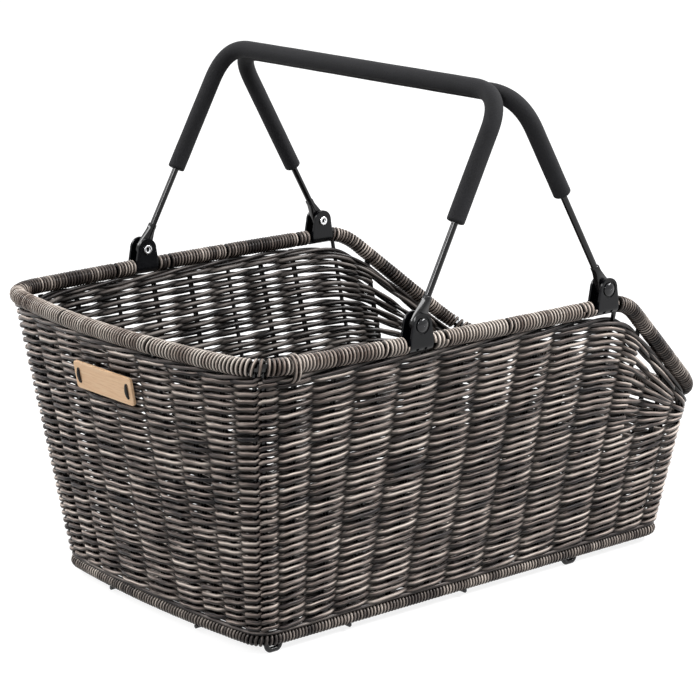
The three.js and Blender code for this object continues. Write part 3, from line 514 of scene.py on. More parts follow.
def steel_material(name, colour, rough, specular=0.5, metal=0.0):
    graph = Graph(name)
    coords = graph.coords()
    wear = graph.noise(coords, 90.0, 4.0, 0.65)
    rubbed = tuple(min(255, int(c * 1.35 + 6)) for c in colour)
    tones = graph.ramp(wear, [(0.3, colour), (0.75, rubbed)])
    shine = graph.ramp(wear, [(0.3, rough), (0.7, rough + 0.08)])
    return graph.shade(tones, shine, (graph.noise(coords, 900.0), 0.05, 0.0001), specular, metal)


black_steel = steel_material("black_steel", (5, 5, 7), 0.12, 0.36)
bracket_steel = steel_material("bracket_steel", (7, 8, 11), 0.16, 0.2)
rivet_dark = steel_material("rivet_dark", (8, 8, 12), 0.05, 0.45)
rivet_bright = steel_material("rivet_bright", (206, 208, 212), 0.2, metal=1.0)


def foam_material():
    graph = Graph("grip_foam")
    coords = graph.coords()
    cells = graph.add("TexVoronoi", {"Vector": coords, "Scale": 1500.0}, "Distance")
    pores = graph.noise(coords, 1100.0, 2.0, 0.6)
    mixed = graph.blend((pores, 0.6), (graph.noise(coords, 45.0, 4.0, 0.6), 0.4))
    tones = graph.ramp(mixed, [(0.3, (16, 16, 18)), (0.7, (34, 34, 37))])
    return graph.shade(tones, 0.82, (graph.maths("ADD", cells, pores), 0.5, 0.0003), 0.3)


def wood_material():
    graph = Graph("badge_wood")
    grain = graph.noise(graph.coords((2, 1, 14)), 60.0, 5.0, 0.6)
    fleck = graph.noise(graph.coords((3, 1, 30)), 160.0, 3.0, 0.7)
    mixed = graph.blend((grain, 0.65), (fleck, 0.35))
    tones = [(0.3, (228, 184, 138)), (0.5, (250, 209, 168)), (0.72, (255, 224, 188))]
    return graph.shade(graph.ramp(mixed, tones), 0.55, (mixed, 0.2, 0.0003))


def strap_material():
    graph = Graph("badge_strap")
    threads = graph.noise(graph.coords(), 700.0)
    tones = graph.ramp(threads, [(0.35, (8, 7, 7)), (0.65, (24, 20, 19))])
    return graph.shade(tones, 0.6, (threads, 0.3, 0.0002), 0.2)


foam_mat, wood_mat, strap_mat = foam_material(), wood_material(), strap_material()

# CAD nodes that stay get the same kind of finish
for node in bpy.data.objects:
    if node.type == "MESH":
        for material_slot in node.material_slots:
            material_slot.material = black_steel

# Woven walls: two strands twist round each other and round the stakes, row by row
WALLS = ("near", "far", "tall", "low")
WALL_ORDER = ("near", "low", "far", "tall", "near", "low")
WALL_STAKES = {"near": 13, "low": 10, "far": 13, "tall": 10}
# Counted in stakes, the walls meet halfway between the two stakes of each corner
CORNERS = np.cumsum([-0.5, *(WALL_STAKES[label] for label in WALL_ORDER)])
ROW_PITCH, FIRST_ROW_Z, TOP_ROW_Z = 5.379, 18.0, 195.5
# Rows from here up fan together down the slope, with gaps of at least this much
FAN_Z, LEAST_PITCH = 98.0, 4.2
# How far the top row lies under the rim at the low end and on the slope, and its bend at the knee
UNDER_LOW_RIM, UNDER_SLOPE, CAP_BEND = 12.3, 13.5, 9.0
# The top rows hang loose beside the tall far corner: how far, at which stake and how widely
SLACK, SLACK_U, SLACK_REACH = 3.4, 34.6, 0.8
SWING_OUT, SWING_UP, STRAND_R, STRAND_FLAT = 2.6, 1.2, 1.5, 0.86
# Seeds for how uneven the rows and their strands are
ROW_SEED, RIPPLE_SEED, SWAY_SEED, LIFT_SEED, FAT_SEED = 11, 400, 900, 1700, 2600
STEPS = 10


def cap_height(u):
    """Height of the topmost row, which follows the rim down its slope."""
    along = (rim_way.at_stakes(u)[..., 0] - KNEE_X) / (RIM_LENGTH - KNEE_X)
    cap = soft_min(TOP_ROW_Z + 0.8, RIM_Z + (LOW_RIM_Z - RIM_Z) * along - UNDER_SLOPE, CAP_BEND)
    cap = cap - SLACK * np.exp(-((np.mod(u, STAKES) - SLACK_U) / SLACK_REACH) ** 2)
    return np.maximum(cap, LOW_RIM_Z - UNDER_LOW_RIM)


def fan(u, level):
    """Height of a row that is at a given level where the rim is level."""
    if level <= FAN_Z:
        return np.full(np.shape(u), level)
    share = (cap_height(u) - FAN_Z) / (cap_height(0.0) - FAN_Z)
    return FAN_Z + (level - FAN_Z) * share


row_levels = np.arange(FIRST_ROW_Z, TOP_ROW_Z + 0.1, ROW_PITCH)
row_levels[-1] = TOP_ROW_Z


def row_ends():
    """How far each row runs toward the low end before it is crowded out."""
    alive = list(range(len(row_levels)))
    ends = dict.fromkeys(alive)
    for u in np.arange(8.0, 13.01, 0.5):
        while True:
            heights = [fan(u, row_levels[j]) for j in alive]
            room = {}
            for i in np.flatnonzero(np.diff(heights) < LEAST_PITCH):
                for k in (i, i + 1):
                    if 0 < k < len(alive) - 1 and row_levels[alive[k]] > FAN_Z:
                        # The sine spreads the choice unevenly
                        uneven = 0.9 * math.sin(7.3 * alive[k])
                        room[k] = heights[k + 1] - heights[k - 1] + uneven
            if not room:
                break
            ends[alive.pop(min(room, key=room.get))] = u
    return ends


def weave_row(regions, index, level, start, stop):
    """One row from stake place start to stop, shared out over the wall pieces."""
    u = start + np.arange(int(round((stop - start) * STEPS)) + 1) / STEPS
    fanned = 0.0
    if level > FAN_Z:
        fanned = 1 - np.clip((cap_height(u) - FAN_Z) / (TOP_ROW_Z - FAN_Z), 0, 1)
    z = fan(u, level) + (0.5 + 1.1 * fanned) * drift(u, ROW_SEED + index, 1.9)
    z = z + 0.28 * drift(u, RIPPLE_SEED + index, 0.7)
    middle, out = wall_point(u, z), wall_out(u, z)
    upward = unit(np.cross(out, unit(np.gradient(middle, axis=0))))
    # The far side is beaten down closer
    lap = np.mod(u, STAKES)
    closer = 1 + 0.09 * np.clip(np.minimum(lap - 21.5, 36.5 - lap), 0, 1)
    crowd = 1 - np.minimum(fanned, 0.3)
    for strand in (0, 1):
        seed = 2 * index + strand
        # Turned slowly over a stake and quickly between two
        angle = math.pi * (u + strand) - 0.4 * np.sin(2 * math.pi * u) + 0.3
        wave = np.cos(angle)
        sway = SWING_OUT * (1 + 0.1 * drift(u, SWAY_SEED + seed, 1.3))
        lift = SWING_UP * crowd * (1 + 0.25 * drift(u, LIFT_SEED + seed, 1.1))
        points = middle + out * (sway * wave)[:, None] + upward * (lift * np.sin(angle))[:, None]
        radius = STRAND_R * (1 + 0.05 * drift(u, FAT_SEED + seed, 3.0)) * closer
        crest = np.sign(wave) * np.abs(wave) ** 0.6
        columns = points, out, STRAND_FLAT * radius, radius * (1.02 + 0.1 * wave ** 2)
        lane = 1.31 * index + 0.37 * strand
        for bundle, low_u, high_u in regions:
            inside = (u >= low_u - 1e-6) & (u <= high_u + 1e-6)
            if inside.sum() >= 3:
                shape = (column[inside] for column in columns)
                run_from = 3.4 * np.argmax(inside)
                bundle.tube(*shape, lane=lane, run_from=run_from, crest=crest[inside])


def woven_walls():
    bundles = {label: Bundle() for label in WALLS}
    regions = list(zip([bundles[label] for label in WALL_ORDER], CORNERS, CORNERS[1:]))
    crowded_at = row_ends()
    for index, level in enumerate(row_levels):
        reached = crowded_at[index]
        if reached is None:
            weave_row(regions[:4], index, level, CORNERS[0], CORNERS[4])
        else:
            # From the far slope by the tall end to the near slope
            weave_row(regions[2:], index, level, 35 - reached, STAKES + reached)
    for label, bundle in bundles.items():
        # The far wall takes the darker copy, painted shade for the basket's inside
        piece = bundle.piece(f"woven_wall_{label}", shaded_inner_mat if label == "far" else weave_mat)
        ride_on(piece, "basket", "weave", f"wall_{label}")


def stake_rods():
    """Pairs of thin rods between the steel uprights."""
    bundles = {label: Bundle() for label in WALLS}
    labels = [label for label, count in WALL_STAKES.items() for _ in range(count)]
    for k, label in enumerate(labels):
        if stakes[k][2]:
            continue
        z = np.linspace(13.6, rim_way.at_stakes(k)[2] - 6.6, 14)
        u = np.full(len(z), float(k))
        ahead = unit(wall_point(u + 0.05, z) - wall_point(u - 0.05, z))
        for way in (-1, 1):
            points = wall_point(u, z) + ahead * way * 1.15
            bundles[label].tube(points, wall_out(u, z), 1.1, 1.1, 7, lane=k + 0.4 * way)
    for label, bundle in bundles.items():
        ride_on(bundle.piece(f"stakes_{label}", stake_mat), "basket", "weave", f"wall_{label}")


woven_walls()
stake_rods()

# Windings: strands wound close round the wires. Each is given by its reach from the wire's
# middle, its pitch, its strand's thickness and width, and its points to a turn.
RIM_TURNS = (4.55, 2.8, 1.4, 1.26, 14)
OPEN_TURNS = (4.5, 3.9, 1.35, 1.7, 18)
BASE_TURNS = (3.6, 2.9, 1.1, 1.3, 12)
# From a handle's pivot to the foot of its bracket, and to the end of the open turns
FOOT_REACH, TURNS_REACH, TURNS_INSET = BRACKET_FOOT / 2 + 0.4, 24.2, 1.6
DARK_FROM_Y = 138.0
UPRIGHT_RUNS = [stake[0] for stake in stakes if stake[2]]
rim_at = {
    (number, side): rim_way.find(long_rim(PIVOT_X[number], side))
    for side, _, number in BRACKETS
}


def winding(bundle, outline, start, stop, turns_made, seed, lane, breaks=()):
    """A helix round an outline between two distances along it, opened out at the breaks."""
    radius, pitch, thick, wide, per_turn = turns_made
    grid = np.linspace(start, stop, 4000)
    dense = np.ones(len(grid))
    for place in breaks:
        for lap in (-outline.total, 0, outline.total):
            dense -= 0.72 * np.exp(-((grid - place - lap) / 1.9) ** 2)
    dense = np.clip(dense, 0.25, 1) * (1 + 0.06 * drift(grid, seed + 3, 14.0))
    wound = np.concatenate([[0], np.cumsum(0.5 * (dense[1:] + dense[:-1]))])
    wound *= (stop - start) / len(grid) / pitch
    turns = max(1, int(round(wound[-1])))
    share = np.arange(turns * per_turn + 1) / (turns * per_turn)
    run = np.interp(share * wound[-1], wound, grid)
    angle = 2 * np.pi * turns * share + 0.16 * drift(run, seed, 9.0)
    ahead, side = outline.directions(run, 1.5)
    radial = np.cos(angle)[:, None] * side + np.sin(angle)[:, None] * np.cross(side, ahead)
    reach = radius * (1 + 0.02 * drift(run, seed + 1, 4.0))
    fat = wide * (1 + 0.05 * drift(run, seed + 2, 2.0 * pitch))
    # Painted shade on the flanks of each turn, with a painted highlight along its middle
    bundle.tube(outline.at(run) + radial * reach[:, None], radial, thick, fat, lane=lane, highlight_brow=0)


def tie_loop(bundle, x, lane):
    """A turn on the near side that takes in the rim and the strands under it."""
    run = rim_way.find(long_rim(x, -1))
    angle = full_turn(28)[:, None]
    across, upward = np.cos(angle) * rim_way.directions(run, 0.5)[1], np.sin(angle) * [0, 0, 1]
    points = rim_way.at(run) - [0, 0, 2.2] + 6.2 * across + 8.4 * upward
    bundle.tube(points, across + upward, 1.3, 1.3, lane=lane, closed=True, highlight_brow=0)


def rim_windings():
    spans = {
        "near": (rim_at[1, -1] + TURNS_REACH, rim_at[2, -1] - TURNS_REACH),
        "low": (rim_at[2, -1] + FOOT_REACH, rim_at[2, 1] - FOOT_REACH),
        "far": (rim_at[2, 1] + TURNS_REACH, rim_at[1, 1] - TURNS_REACH),
        "tall": (rim_at[1, 1] + FOOT_REACH, rim_at[1, -1] + rim_way.total - FOOT_REACH),
    }
    for order, (label, span) in enumerate(spans.items()):
        bundle = Bundle()
        winding(bundle, rim_way, *span, RIM_TURNS, 50 + order, 3.1 * order, UPRIGHT_RUNS)
        if label == "tall":
            tie_loop(bundle, 24.5, 21.0)
            tie_loop(bundle, 27.6, 22.0)
        finish = rim_mat if label in ("near", "tall") else dark_rim_mat
        piece = bundle.piece(f"rim_winding_{label}", finish)
        if label == "tall":
            # Darker cane takes over past the tall far corner
            piece.data.materials.append(dark_rim_mat)
            for face in piece.data.polygons:
                face.material_index = int(face.center.y > DARK_FROM_Y * 0.001)
        ride_on(piece, "basket", "binding", f"rim_wrap_{label}")


def open_turns():
    """Looser, slanted turns beside each bracket."""
    for side, label, number in BRACKETS:
        way = -side if number == 1 else side
        start, stop = sorted(
            rim_at[number, side] + way * reach for reach in (FOOT_REACH, TURNS_REACH)
        )
        bundle = Bundle()
        winding(
            bundle, rim_way, start + TURNS_INSET, stop - TURNS_INSET, OPEN_TURNS,
            80 + number + side, 17.0 + 2 * number + side,
        )
        piece = bundle.piece(f"open_turns_{label}_{number}", rim_mat if side < 0 else dark_rim_mat)
        ride_on(piece, "basket", "binding", f"rim_turns_{label}_{number}")


rim_windings()
open_turns()
base_bundle = Bundle()
winding(base_bundle, base_way, 0.0, base_way.total, BASE_TURNS, 70, 5.0)
ride_on(base_bundle.piece("base_winding", base_mat), "basket", "binding", "base_wrap")


# Borders: long smooth strands under the rim and above the base ring
def borders():
    bundle = Bundle()
    u = np.arange(0, STAKES, 0.1)
    for rise, way_out, seed in ((5.6, 1.25, 61), (8.0, -1.1, 62)):
        heights = BASE_Z + rise + 0.4 * drift(u, seed, 2.0)
        reach = way_out + 0.3 * drift(u, seed + 5, 1.5)
        bundle.tube(*off_wall(u, heights, reach), 1.5, 1.5, lane=seed, closed=True)
    # Three strands pass in turn over two stakes and behind the third
    level = np.minimum(rim_way.at_stakes(u)[:, 2], cap_height(u) + UNDER_LOW_RIM) - 8.5
    for strand in range(3):
        angle = 2 * math.pi * (u / 3 + strand / 3) + 0.3 * drift(u, 63 + strand, 1.9)
        heights = level + 1.7 * np.sin(angle) + 0.5 * drift(u, 73 + strand, 2.3)
        points, out = off_wall(u, heights, 0.2 + 2.3 * np.cos(angle))
        bundle.tube(points, out, 1.42, 1.42, lane=63 + strand, closed=True, crest=np.cos(angle))
    ride_on(bundle.piece("border_strands", border_mat), "basket", "weave")


borders()

# Woven floor on its wires
FLOOR_Z, FLOOR_SWING, FLOOR_PITCH, FLOOR_HALF = 17.4, 1.45, 4.95, 104
FLOOR_STAKES_X = np.linspace(34, 408, 18)


def rounded_off(depth):
    """How much the round of a floor corner takes off, this deep into it."""
    depth = min(max(depth, 0), BASE_ROUND)
    return BASE_ROUND - math.sqrt(BASE_ROUND ** 2 - depth ** 2)


def woven_floor():
    bundle = Bundle()
    for index, y in enumerate(np.arange(-FLOOR_HALF, FLOOR_HALF + 0.1, FLOOR_PITCH)):
        bow = 1 - (y / (BASE_WIDTH / 2)) ** 2
        inset = 5.6 + rounded_off(abs(y) - 92)
        start = BASE_TALL_X - BASE_TALL_BOW * bow + inset
        x = np.arange(start, BASE_LOW_X + BASE_LOW_BOW * bow - inset, 2.6)
        u = np.interp(x, FLOOR_STAKES_X, np.arange(len(FLOOR_STAKES_X)))
        for strand in (0, 1):
            angle = np.pi * (u + strand + index % 2)
            across = y + 1.2 * np.sin(angle) + 0.3 * drift(x, 300 + index, 30)
            points = xyz(x, across, FLOOR_Z + FLOOR_SWING * np.cos(angle))
            bundle.tube(points, [0.0, 0.0, 1.0], 1.15, 1.3, 6, lane=index * 1.7 + 0.4 * strand)
    ride_on(bundle.piece("woven_floor", weave_mat), "basket", "weave", "floor")
    rods = Bundle()
    for k, x in enumerate(FLOOR_STAKES_X):
        from_end = min(x - BASE_TALL_X, BASE_LOW_X - x - 8) + 4
        half = BASE_WIDTH / 2 - 6.2 - rounded_off(BASE_ROUND - from_end)
        y = np.linspace(-half, half, 20)
        for way in (-1, 1):
            points = xyz(x + way * 1.1, y, FLOOR_Z)
            rods.tube(points, [0.0, 0.0, 1.0], 0.95, 1.05, 6, lane=k + 0.4 * way)
    ride_on(rods.piece("floor_stakes", stake_mat), "basket", "weave", "floor")


woven_floor()


def final_mesh(piece):
    """A mesh of what an object looks like with its modifiers."""
    bpy.context.view_layer.update()
    shown = piece.evaluated_get(bpy.context.evaluated_depsgraph_get())
    return bpy.data.meshes.new_from_object(shown)


def settle(piece):
    """Takes a piece's modifiers into its mesh and turns its faces outward."""
    whole = final_mesh(piece)
    piece.modifiers.clear()
    piece.data = whole
    work = bmesh.new()
    work.from_mesh(whole)
    bmesh.ops.remove_doubles(work, verts=work.verts, dist=1e-6)
    bmesh.ops.recalc_face_normals(work, faces=work.faces)
    work.to_mesh(whole)
    work.free()


def modify(piece, kind, **settings):
    modifier = piece.modifiers.new(kind.lower(), kind)
    for key, value in settings.items():
        setattr(modifier, key, value)


# Brackets: a folded plate round the rim wire with rounded ears
EDGE_ROUND = 0.5
NOTCH_AT, NOTCH_HALF, NOTCH_RISE, NOTCH_DEPTH = 3.6, 1.3, 1.7, 2.45
PIN_SIDES, DOME_R, DOME_RISE = 40, 4.9, 2.2
# The pin's collar on the inner plate and the hollow in it, as radius and height above the plate
COLLAR = [
    (2.0, 0.2), (3.4, 0.1), (3.5, -0.9), (3.1, -1.15), (1.9, -1.1), (1.6, -0.8), (1.5, 1.8),
    (0.02, 1.9),
]


def bracket_mesh(name, number, side):
    """The plate as a grid over its unfolded path, given a thickness and rounded edges."""
    middle = BRACKET_GAP + BRACKET_PLATE / 2
    wire_z = RIM_Z - PIVOT_Z
    shoulder = wire_z + 3.0
    head = HEAD_R * np.cos(np.linspace(0, math.pi / 2, 10))
    ear_z = np.concatenate([head, np.linspace(0, wire_z, 8)[1:]])
    bend = np.linspace(0, -math.pi, 17)[1:-1]
    ear = np.full(len(ear_z), middle)
    out = np.concatenate([ear, middle * np.cos(bend), -ear])
    z = np.concatenate([ear_z, wire_z + middle * np.sin(bend), ear_z[::-1]])
    half_head = np.maximum(np.sqrt(np.maximum(HEAD_R ** 2 - z ** 2, 0)), 0.35)
    half_foot = HEAD_R + (BRACKET_FOOT / 2 - HEAD_R) * np.minimum(z / shoulder, 1)
    half = np.where(z >= 0, half_head, half_foot)
    grid = xyz(half[:, None] * np.linspace(-1, 1, 13), out[:, None], z[:, None])
    count, wide = grid.shape[:2]
    i = np.arange(count - 1)[:, None] * wide + np.arange(wide - 1)
    quads = np.stack([i, i + 1, i + wide + 1, i + wide], -1).reshape(-1, 4)
    seat = [PIVOT_X[number], pivot_y(number, side), PIVOT_Z]
    piece = make_piece(name, grid.reshape(-1, 3) * [side, side, 1] + seat, [quads], bracket_steel)
    modify(piece, "SOLIDIFY", thickness=BRACKET_PLATE * 0.001, offset=0)
    settle(piece)
    # A round recess for the dome and two notches at the foot
    face = seat[1] + side * (BRACKET_GAP + BRACKET_PLATE)
    turn = full_turn(48)
    disc = RECESS_R * np.stack([np.cos(turn), np.sin(turn)], -1)
    box = np.array([(-1, -1), (1, -1), (1, 1), (-1, 1)]) * [NOTCH_HALF, NOTCH_RISE]
    cuts = [(disc, 0.0, PIVOT_Z, RECESS_DEPTH)]
    cuts += [(box, way * NOTCH_AT, RIM_Z - BRACKET_GAP, NOTCH_DEPTH) for way in (-1, 1)]
    cutters = []
    for shape, shift, z, depth in cuts:
        x = seat[0] + shift + shape[:, 0]
        flat = xyz(x, face, z + shape[:, 1])
        prism = np.concatenate([flat - [0, depth, 0], flat + [0, depth, 0]])
        cutters.append(make_piece(f"{name}_cut", prism, tube_faces(2, len(flat)), bracket_steel))
        settle(cutters[-1])
        modify(piece, "BOOLEAN", operation="DIFFERENCE", solver="EXACT", object=cutters[-1])
    modify(
        piece, "BEVEL", width=EDGE_ROUND * 0.001, segments=3, limit_method="ANGLE",
        angle_limit=math.radians(50),
    )
    settle(piece)
    for cutter in cutters:
        bpy.data.objects.remove(cutter)
    return piece


def pin_mesh(name, number, side):
    """A turned piece about the pivot: a dome in the recess, and a bare collar inside."""
    out = BRACKET_GAP + BRACKET_PLATE
    seat = out - RECESS_DEPTH + 0.15
    turn = np.linspace(0.02, math.pi / 2, 14)
    profile = [(DOME_R * math.sin(a), seat + DOME_RISE * math.cos(a)) for a in turn]
    profile += [(2.0, seat - 0.05), *((radius, rise - out) for radius, rise in COLLAR)]
    radius, depth = np.array(profile).T[:, :, None]
    angle = full_turn(PIN_SIDES)
    y = side * depth + pivot_y(number, side)
    verts = xyz(radius * np.cos(angle) + PIVOT_X[number], y, radius * np.sin(angle) + PIVOT_Z)
    faces = [block[:, ::side] for block in tube_faces(len(profile), PIN_SIDES)]
    pin = make_piece(name, verts.reshape(-1, 3), faces, rivet_dark)
    pin.data.materials.append(rivet_bright)
    for face in pin.data.polygons[(len(turn) + 1) * PIN_SIDES:]:
        face.material_index = 1
    return pin


for side, label, number in BRACKETS:
    plate = bracket_mesh(f"clevis_{label}_{number}", number, side)
    ride_on(plate, "basket", "bracket", f"bracket_{label}_{number}")
    pin = pin_mesh(f"pin_{label}_{number}", number, side)
    ride_on(pin, "basket", "rivet", f"rivet_{label}_{number}")

# Handles
REACH, DRAW_IN, BEND, ROD_R = 165.8, 3.0, 28.0, 2.4
EYE_R, EYE_HALF, EYE_NECK = 6.2, 2.4, 20.0
# Rings of an eye's edge, as how far each is drawn in and its place through the eye
EYE_RINGS = ((0.9, -EYE_HALF), (0.35, -2.1), (0, -1.5), (0, 1.5), (0.35, 2.1), (0.9, EYE_HALF))
GRIP_R, GRIP_START, SLIPS, GRIP_ROUND = 6.3, 68.6, {1: 3.7, 2: 15.0}, 1.3
MEETING_OFFSET, SEAT = 3.2, 0.3


def handle_tilts():
    """Angles from upright at which the two grips lean together, a little off the middle."""
    apart = 2 * GRIP_R + SEAT
    span = PIVOT_X[2] - PIVOT_X[1]
    first = math.asin((span / 2 - MEETING_OFFSET - apart / 2) / REACH)
    across, up = span - REACH * math.sin(first), REACH * math.cos(first)
    far = math.hypot(across, up)
    between = math.acos((far ** 2 + REACH ** 2 - apart ** 2) / (2 * far * REACH))
    return {1: first, 2: between - math.atan2(across, up)}


tilts = handle_tilts()


def tilted(points, number):
    c, s = math.cos(tilts[number]), math.sin(tilts[number])
    x, y, z = points.T
    return xyz(c * x + s * z + PIVOT_X[number], y, c * z - s * x + PIVOT_Z)


def handle_route(number):
    """Dense points from the near foot over the top to the far foot, at rest before tilting, and
    how far along each lies."""
    half = pivot_y(number, 1)

    def bend(side):
        foot = np.array([0, side * half, 0])
        corner = np.array([0, side * (half - DRAW_IN), REACH])
        down, inward = unit(foot - corner), np.array([0, -side, 0])
        share = np.linspace(0, 1, 17)
        return foot, quadratic(corner + down * BEND, corner, corner + inward * BEND, share)

    def straight(a, b, count):
        return a + (b - a) * np.linspace(0, 1, count)[:, None]

    (foot_near, near), (foot_far, far) = bend(-1), bend(1)
    route = np.concatenate([
        straight(foot_near, near[0], 40)[:-1], near, straight(near[-1], far[-1], 60)[1:-1],
        far[::-1], straight(far[0], foot_far, 40)[1:],
    ])
    return route, distances(route)


def handle_tube(bundle, route, number, radius, sides):
    points = tilted(route, number)
    normals = tilted(route + [1.0, 0, 0], number) - points
    bundle.tube(points, normals, radius, radius, sides)


def handle_rod(number):
    route, run = handle_route(number)
    bundle = Bundle()
    handle_tube(bundle, route[(run > 3) & (run < run[-1] - 3)], number, ROD_R, 20)
    # Flattened eyes: a round plate that runs out into the rod
    spread = math.asin((EYE_R - ROD_R) / EYE_NECK)
    turn = np.linspace(math.pi - spread, 2 * math.pi + spread, 36)
    neck = np.array([(1, -4), (0.96, 0), (-0.96, 0), (-1, -4)]) * [ROD_R, 1] + [0, EYE_NECK]
    outline = np.concatenate([EYE_R * np.stack([np.cos(turn), np.sin(turn)], -1), neck])
    outward = unit(outline - [0.0, 1.0])
    quads, ends = tube_faces(len(EYE_RINGS), len(outline))
    verts, all_quads, all_ends = [*bundle.verts], [*bundle.quads], []
    for side in (-1, 1):
        count = sum(map(len, verts))
        all_quads.append(quads + count)
        all_ends.append(ends + count)
        for inset, level in EYE_RINGS:
            drawn = outline - outward * inset
            y = side * (pivot_y(number, 1) + level)
            verts.append(tilted(xyz(drawn[:, 0], y, drawn[:, 1]), number))
    faces = [np.concatenate(blocks) for blocks in (all_quads, all_ends, bundle.ends)]
    piece = make_piece(f"bail_{number}", np.concatenate(verts), faces, black_steel)
    ride_on(piece, f"handle_{number}", "rod", f"handle_{number}_rod")


def handle_grip(number):
    route, run = handle_route(number)
    start, stop = GRIP_START + SLIPS[number], run[-1] - (GRIP_START - SLIPS[number])
    ends = np.array([0, 0.25, 0.7, 1.3, 2.2, 4, 8])
    inner = run[(run > start + 9) & (run < stop - 9)]
    at = np.concatenate([start + ends, inner, stop - ends[::-1]])
    from_end = np.minimum(at - start, stop - at)
    shoulder = np.sqrt(np.clip(1 - (1 - np.minimum(from_end / GRIP_ROUND, 1)) ** 2, 0, 1))
    radius = GRIP_R - GRIP_ROUND * (1 - shoulder) + 0.06 * drift(at, 40 + number, 14)
    bundle = Bundle()
    handle_tube(bundle, along_way(at, run, route), number, radius, 32)
    piece = bundle.piece(f"foam_grip_{number}", foam_mat)
    ride_on(piece, f"handle_{number}", "grip", f"handle_{number}_grip")


for number in (1, 2):
    handle_rod(number)
    handle_grip(number)

# Feet: U-shaped wires under the base wire
FOOT_X = {"tall": 38.0, "low": 320.0}
FOOT_TOP, FOOT_BEND, FOOT_HALF, FOOT_R = BASE_Z - 2.8, 4.75, 5.8, 1.9


def foot_loops():
    angle = np.concatenate([np.linspace(2, 3, 12), np.linspace(3, 4, 12)]) * math.pi / 2
    x = np.repeat([-1, 1], 12) * (FOOT_HALF - FOOT_BEND) + FOOT_BEND * np.cos(angle)
    z = np.maximum(FOOT_TOP + FOOT_BEND * np.sin(angle), FOOT_R + 0.02)
    # Both ends go straight up into the base wire
    x, z = np.pad(x, 1, "edge"), np.pad(z, 1, constant_values=FOOT_TOP + 2.2)
    for side, label in SIDES:
        for end, middle_x in FOOT_X.items():
            bundle = Bundle()
            points = xyz(middle_x + x, side * BASE_WIDTH / 2, z)
            bundle.tube(points, [0.0, 1.0, 0.0], FOOT_R, FOOT_R, 16)
            piece = bundle.piece(f"foot_{end}_{label}", black_steel)
            ride_on(piece, "basket", "wire", f"foot_loop_{end}_{label}")


foot_loops()

# Badge plate with its two ties
BADGE_Y, BADGE_Z, BADGE_THICK = 3.7, 173.0, 2.4
BADGE_WIDTH, BADGE_HEIGHT, BADGE_ROUND = 66.0, 20.0, 2.6
SLOT_AT, SLOT_HALF, SLOT_REACH, SLOT_ROUND = BADGE_WIDTH / 2 - 5.2, 1.3, 5.5, 1.3
STRAP_REACH, STRAP_END = 5.0, 5.1


def rounded(half_w, half_h, r):
    """Points round a rectangle with round corners."""
    points = []
    for k, (h, v) in enumerate(((1, 1), (-1, 1), (-1, -1), (1, -1))):
        for a in np.linspace(k, k + 1, 6) * math.pi / 2:
            points.append((h * (half_w - r) + r * math.cos(a), v * (half_h - r) + r * math.sin(a)))
    return points


def badge():
    rim, base = (way.end(False, BADGE_Y) for way in (rim_way, base_way))
    seat = base + (rim - base) * (BADGE_Z - BASE_Z) / (RIM_Z - BASE_Z)
    lean = math.atan2(base[0] - rim[0], RIM_Z - BASE_Z)
    back = -(4.4 / math.cos(lean) + 0.3)

    def to_place(depth, across, up):
        x = depth * math.cos(lean) - up * math.sin(lean)
        z = depth * math.sin(lean) + up * math.cos(lean)
        return xyz(seat[0] + x, BADGE_Y + across, BADGE_Z + z)

    # A flat outline with two slots, filled and given its thickness and a round edge
    curve = bpy.data.curves.new("plate_outline", "CURVE")
    curve.dimensions, curve.fill_mode = "2D", "BOTH"
    curve.extrude = (BADGE_THICK / 2 - EDGE_ROUND) * 0.001
    curve.bevel_depth, curve.bevel_resolution = EDGE_ROUND * 0.001, 3
    slot = rounded(SLOT_HALF + EDGE_ROUND, SLOT_REACH + 0.3, SLOT_ROUND)
    edge = rounded(*(size - EDGE_ROUND for size in (BADGE_WIDTH / 2, BADGE_HEIGHT / 2, BADGE_ROUND)))
    for shift, points in ((0.0, edge), (-SLOT_AT, slot), (SLOT_AT, slot)):
        spline = curve.splines.new("POLY")
        spline.points.add(len(points) - 1)
        for point, (a, b) in zip(spline.points, points):
            point.co = ((a + shift) * 0.001, b * 0.001, 0, 1)
        spline.use_cyclic_u = True
    holder = add_object("plate_outline", curve)
    mesh = final_mesh(holder)
    bpy.data.objects.remove(holder)
    for vert in mesh.vertices:
        across, up, depth = (1000 * c for c in vert.co)
        vert.co = placed(to_place(back - BADGE_THICK / 2 + depth, -across, up))
    mesh.materials.clear()
    mesh.materials.append(wood_mat)
    plate = add_object("plain_plate", mesh)
    settle(plate)
    ride_on(plate, "basket", "badge", "badge_plate")

    # Flat straps that come out at a slot's top, lie in it and go in at its bottom
    up = np.linspace(-STRAP_REACH, STRAP_REACH, 17)
    arch = np.cos(up / STRAP_REACH * math.pi / 2)
    depths = np.concatenate([[-0.4], -BADGE_THICK - 0.3 - 0.5 * arch, [-0.4]])
    up = np.concatenate([[-STRAP_END], up, [STRAP_END]])
    wide = 1.15 + 0.75 * np.concatenate([[0], arch, [0]])
    out = np.tile([-1.0, 0.0, 0.0], (len(up), 1))
    out[[0, -1]] = [-0.3, 0, -1], [-0.3, 0, 1]
    for side, label in SIDES:
        bundle = Bundle()
        points = to_place(back + depths, side * SLOT_AT, up)
        bundle.tube(points, out, 0.5 + 0.2 * (wide - 1.15), wide, 12, lane=side)
        piece = bundle.piece(f"plate_tie_{label}", strap_mat)
        ride_on(piece, "basket", "tie", f"badge_tie_{label}")


badge()


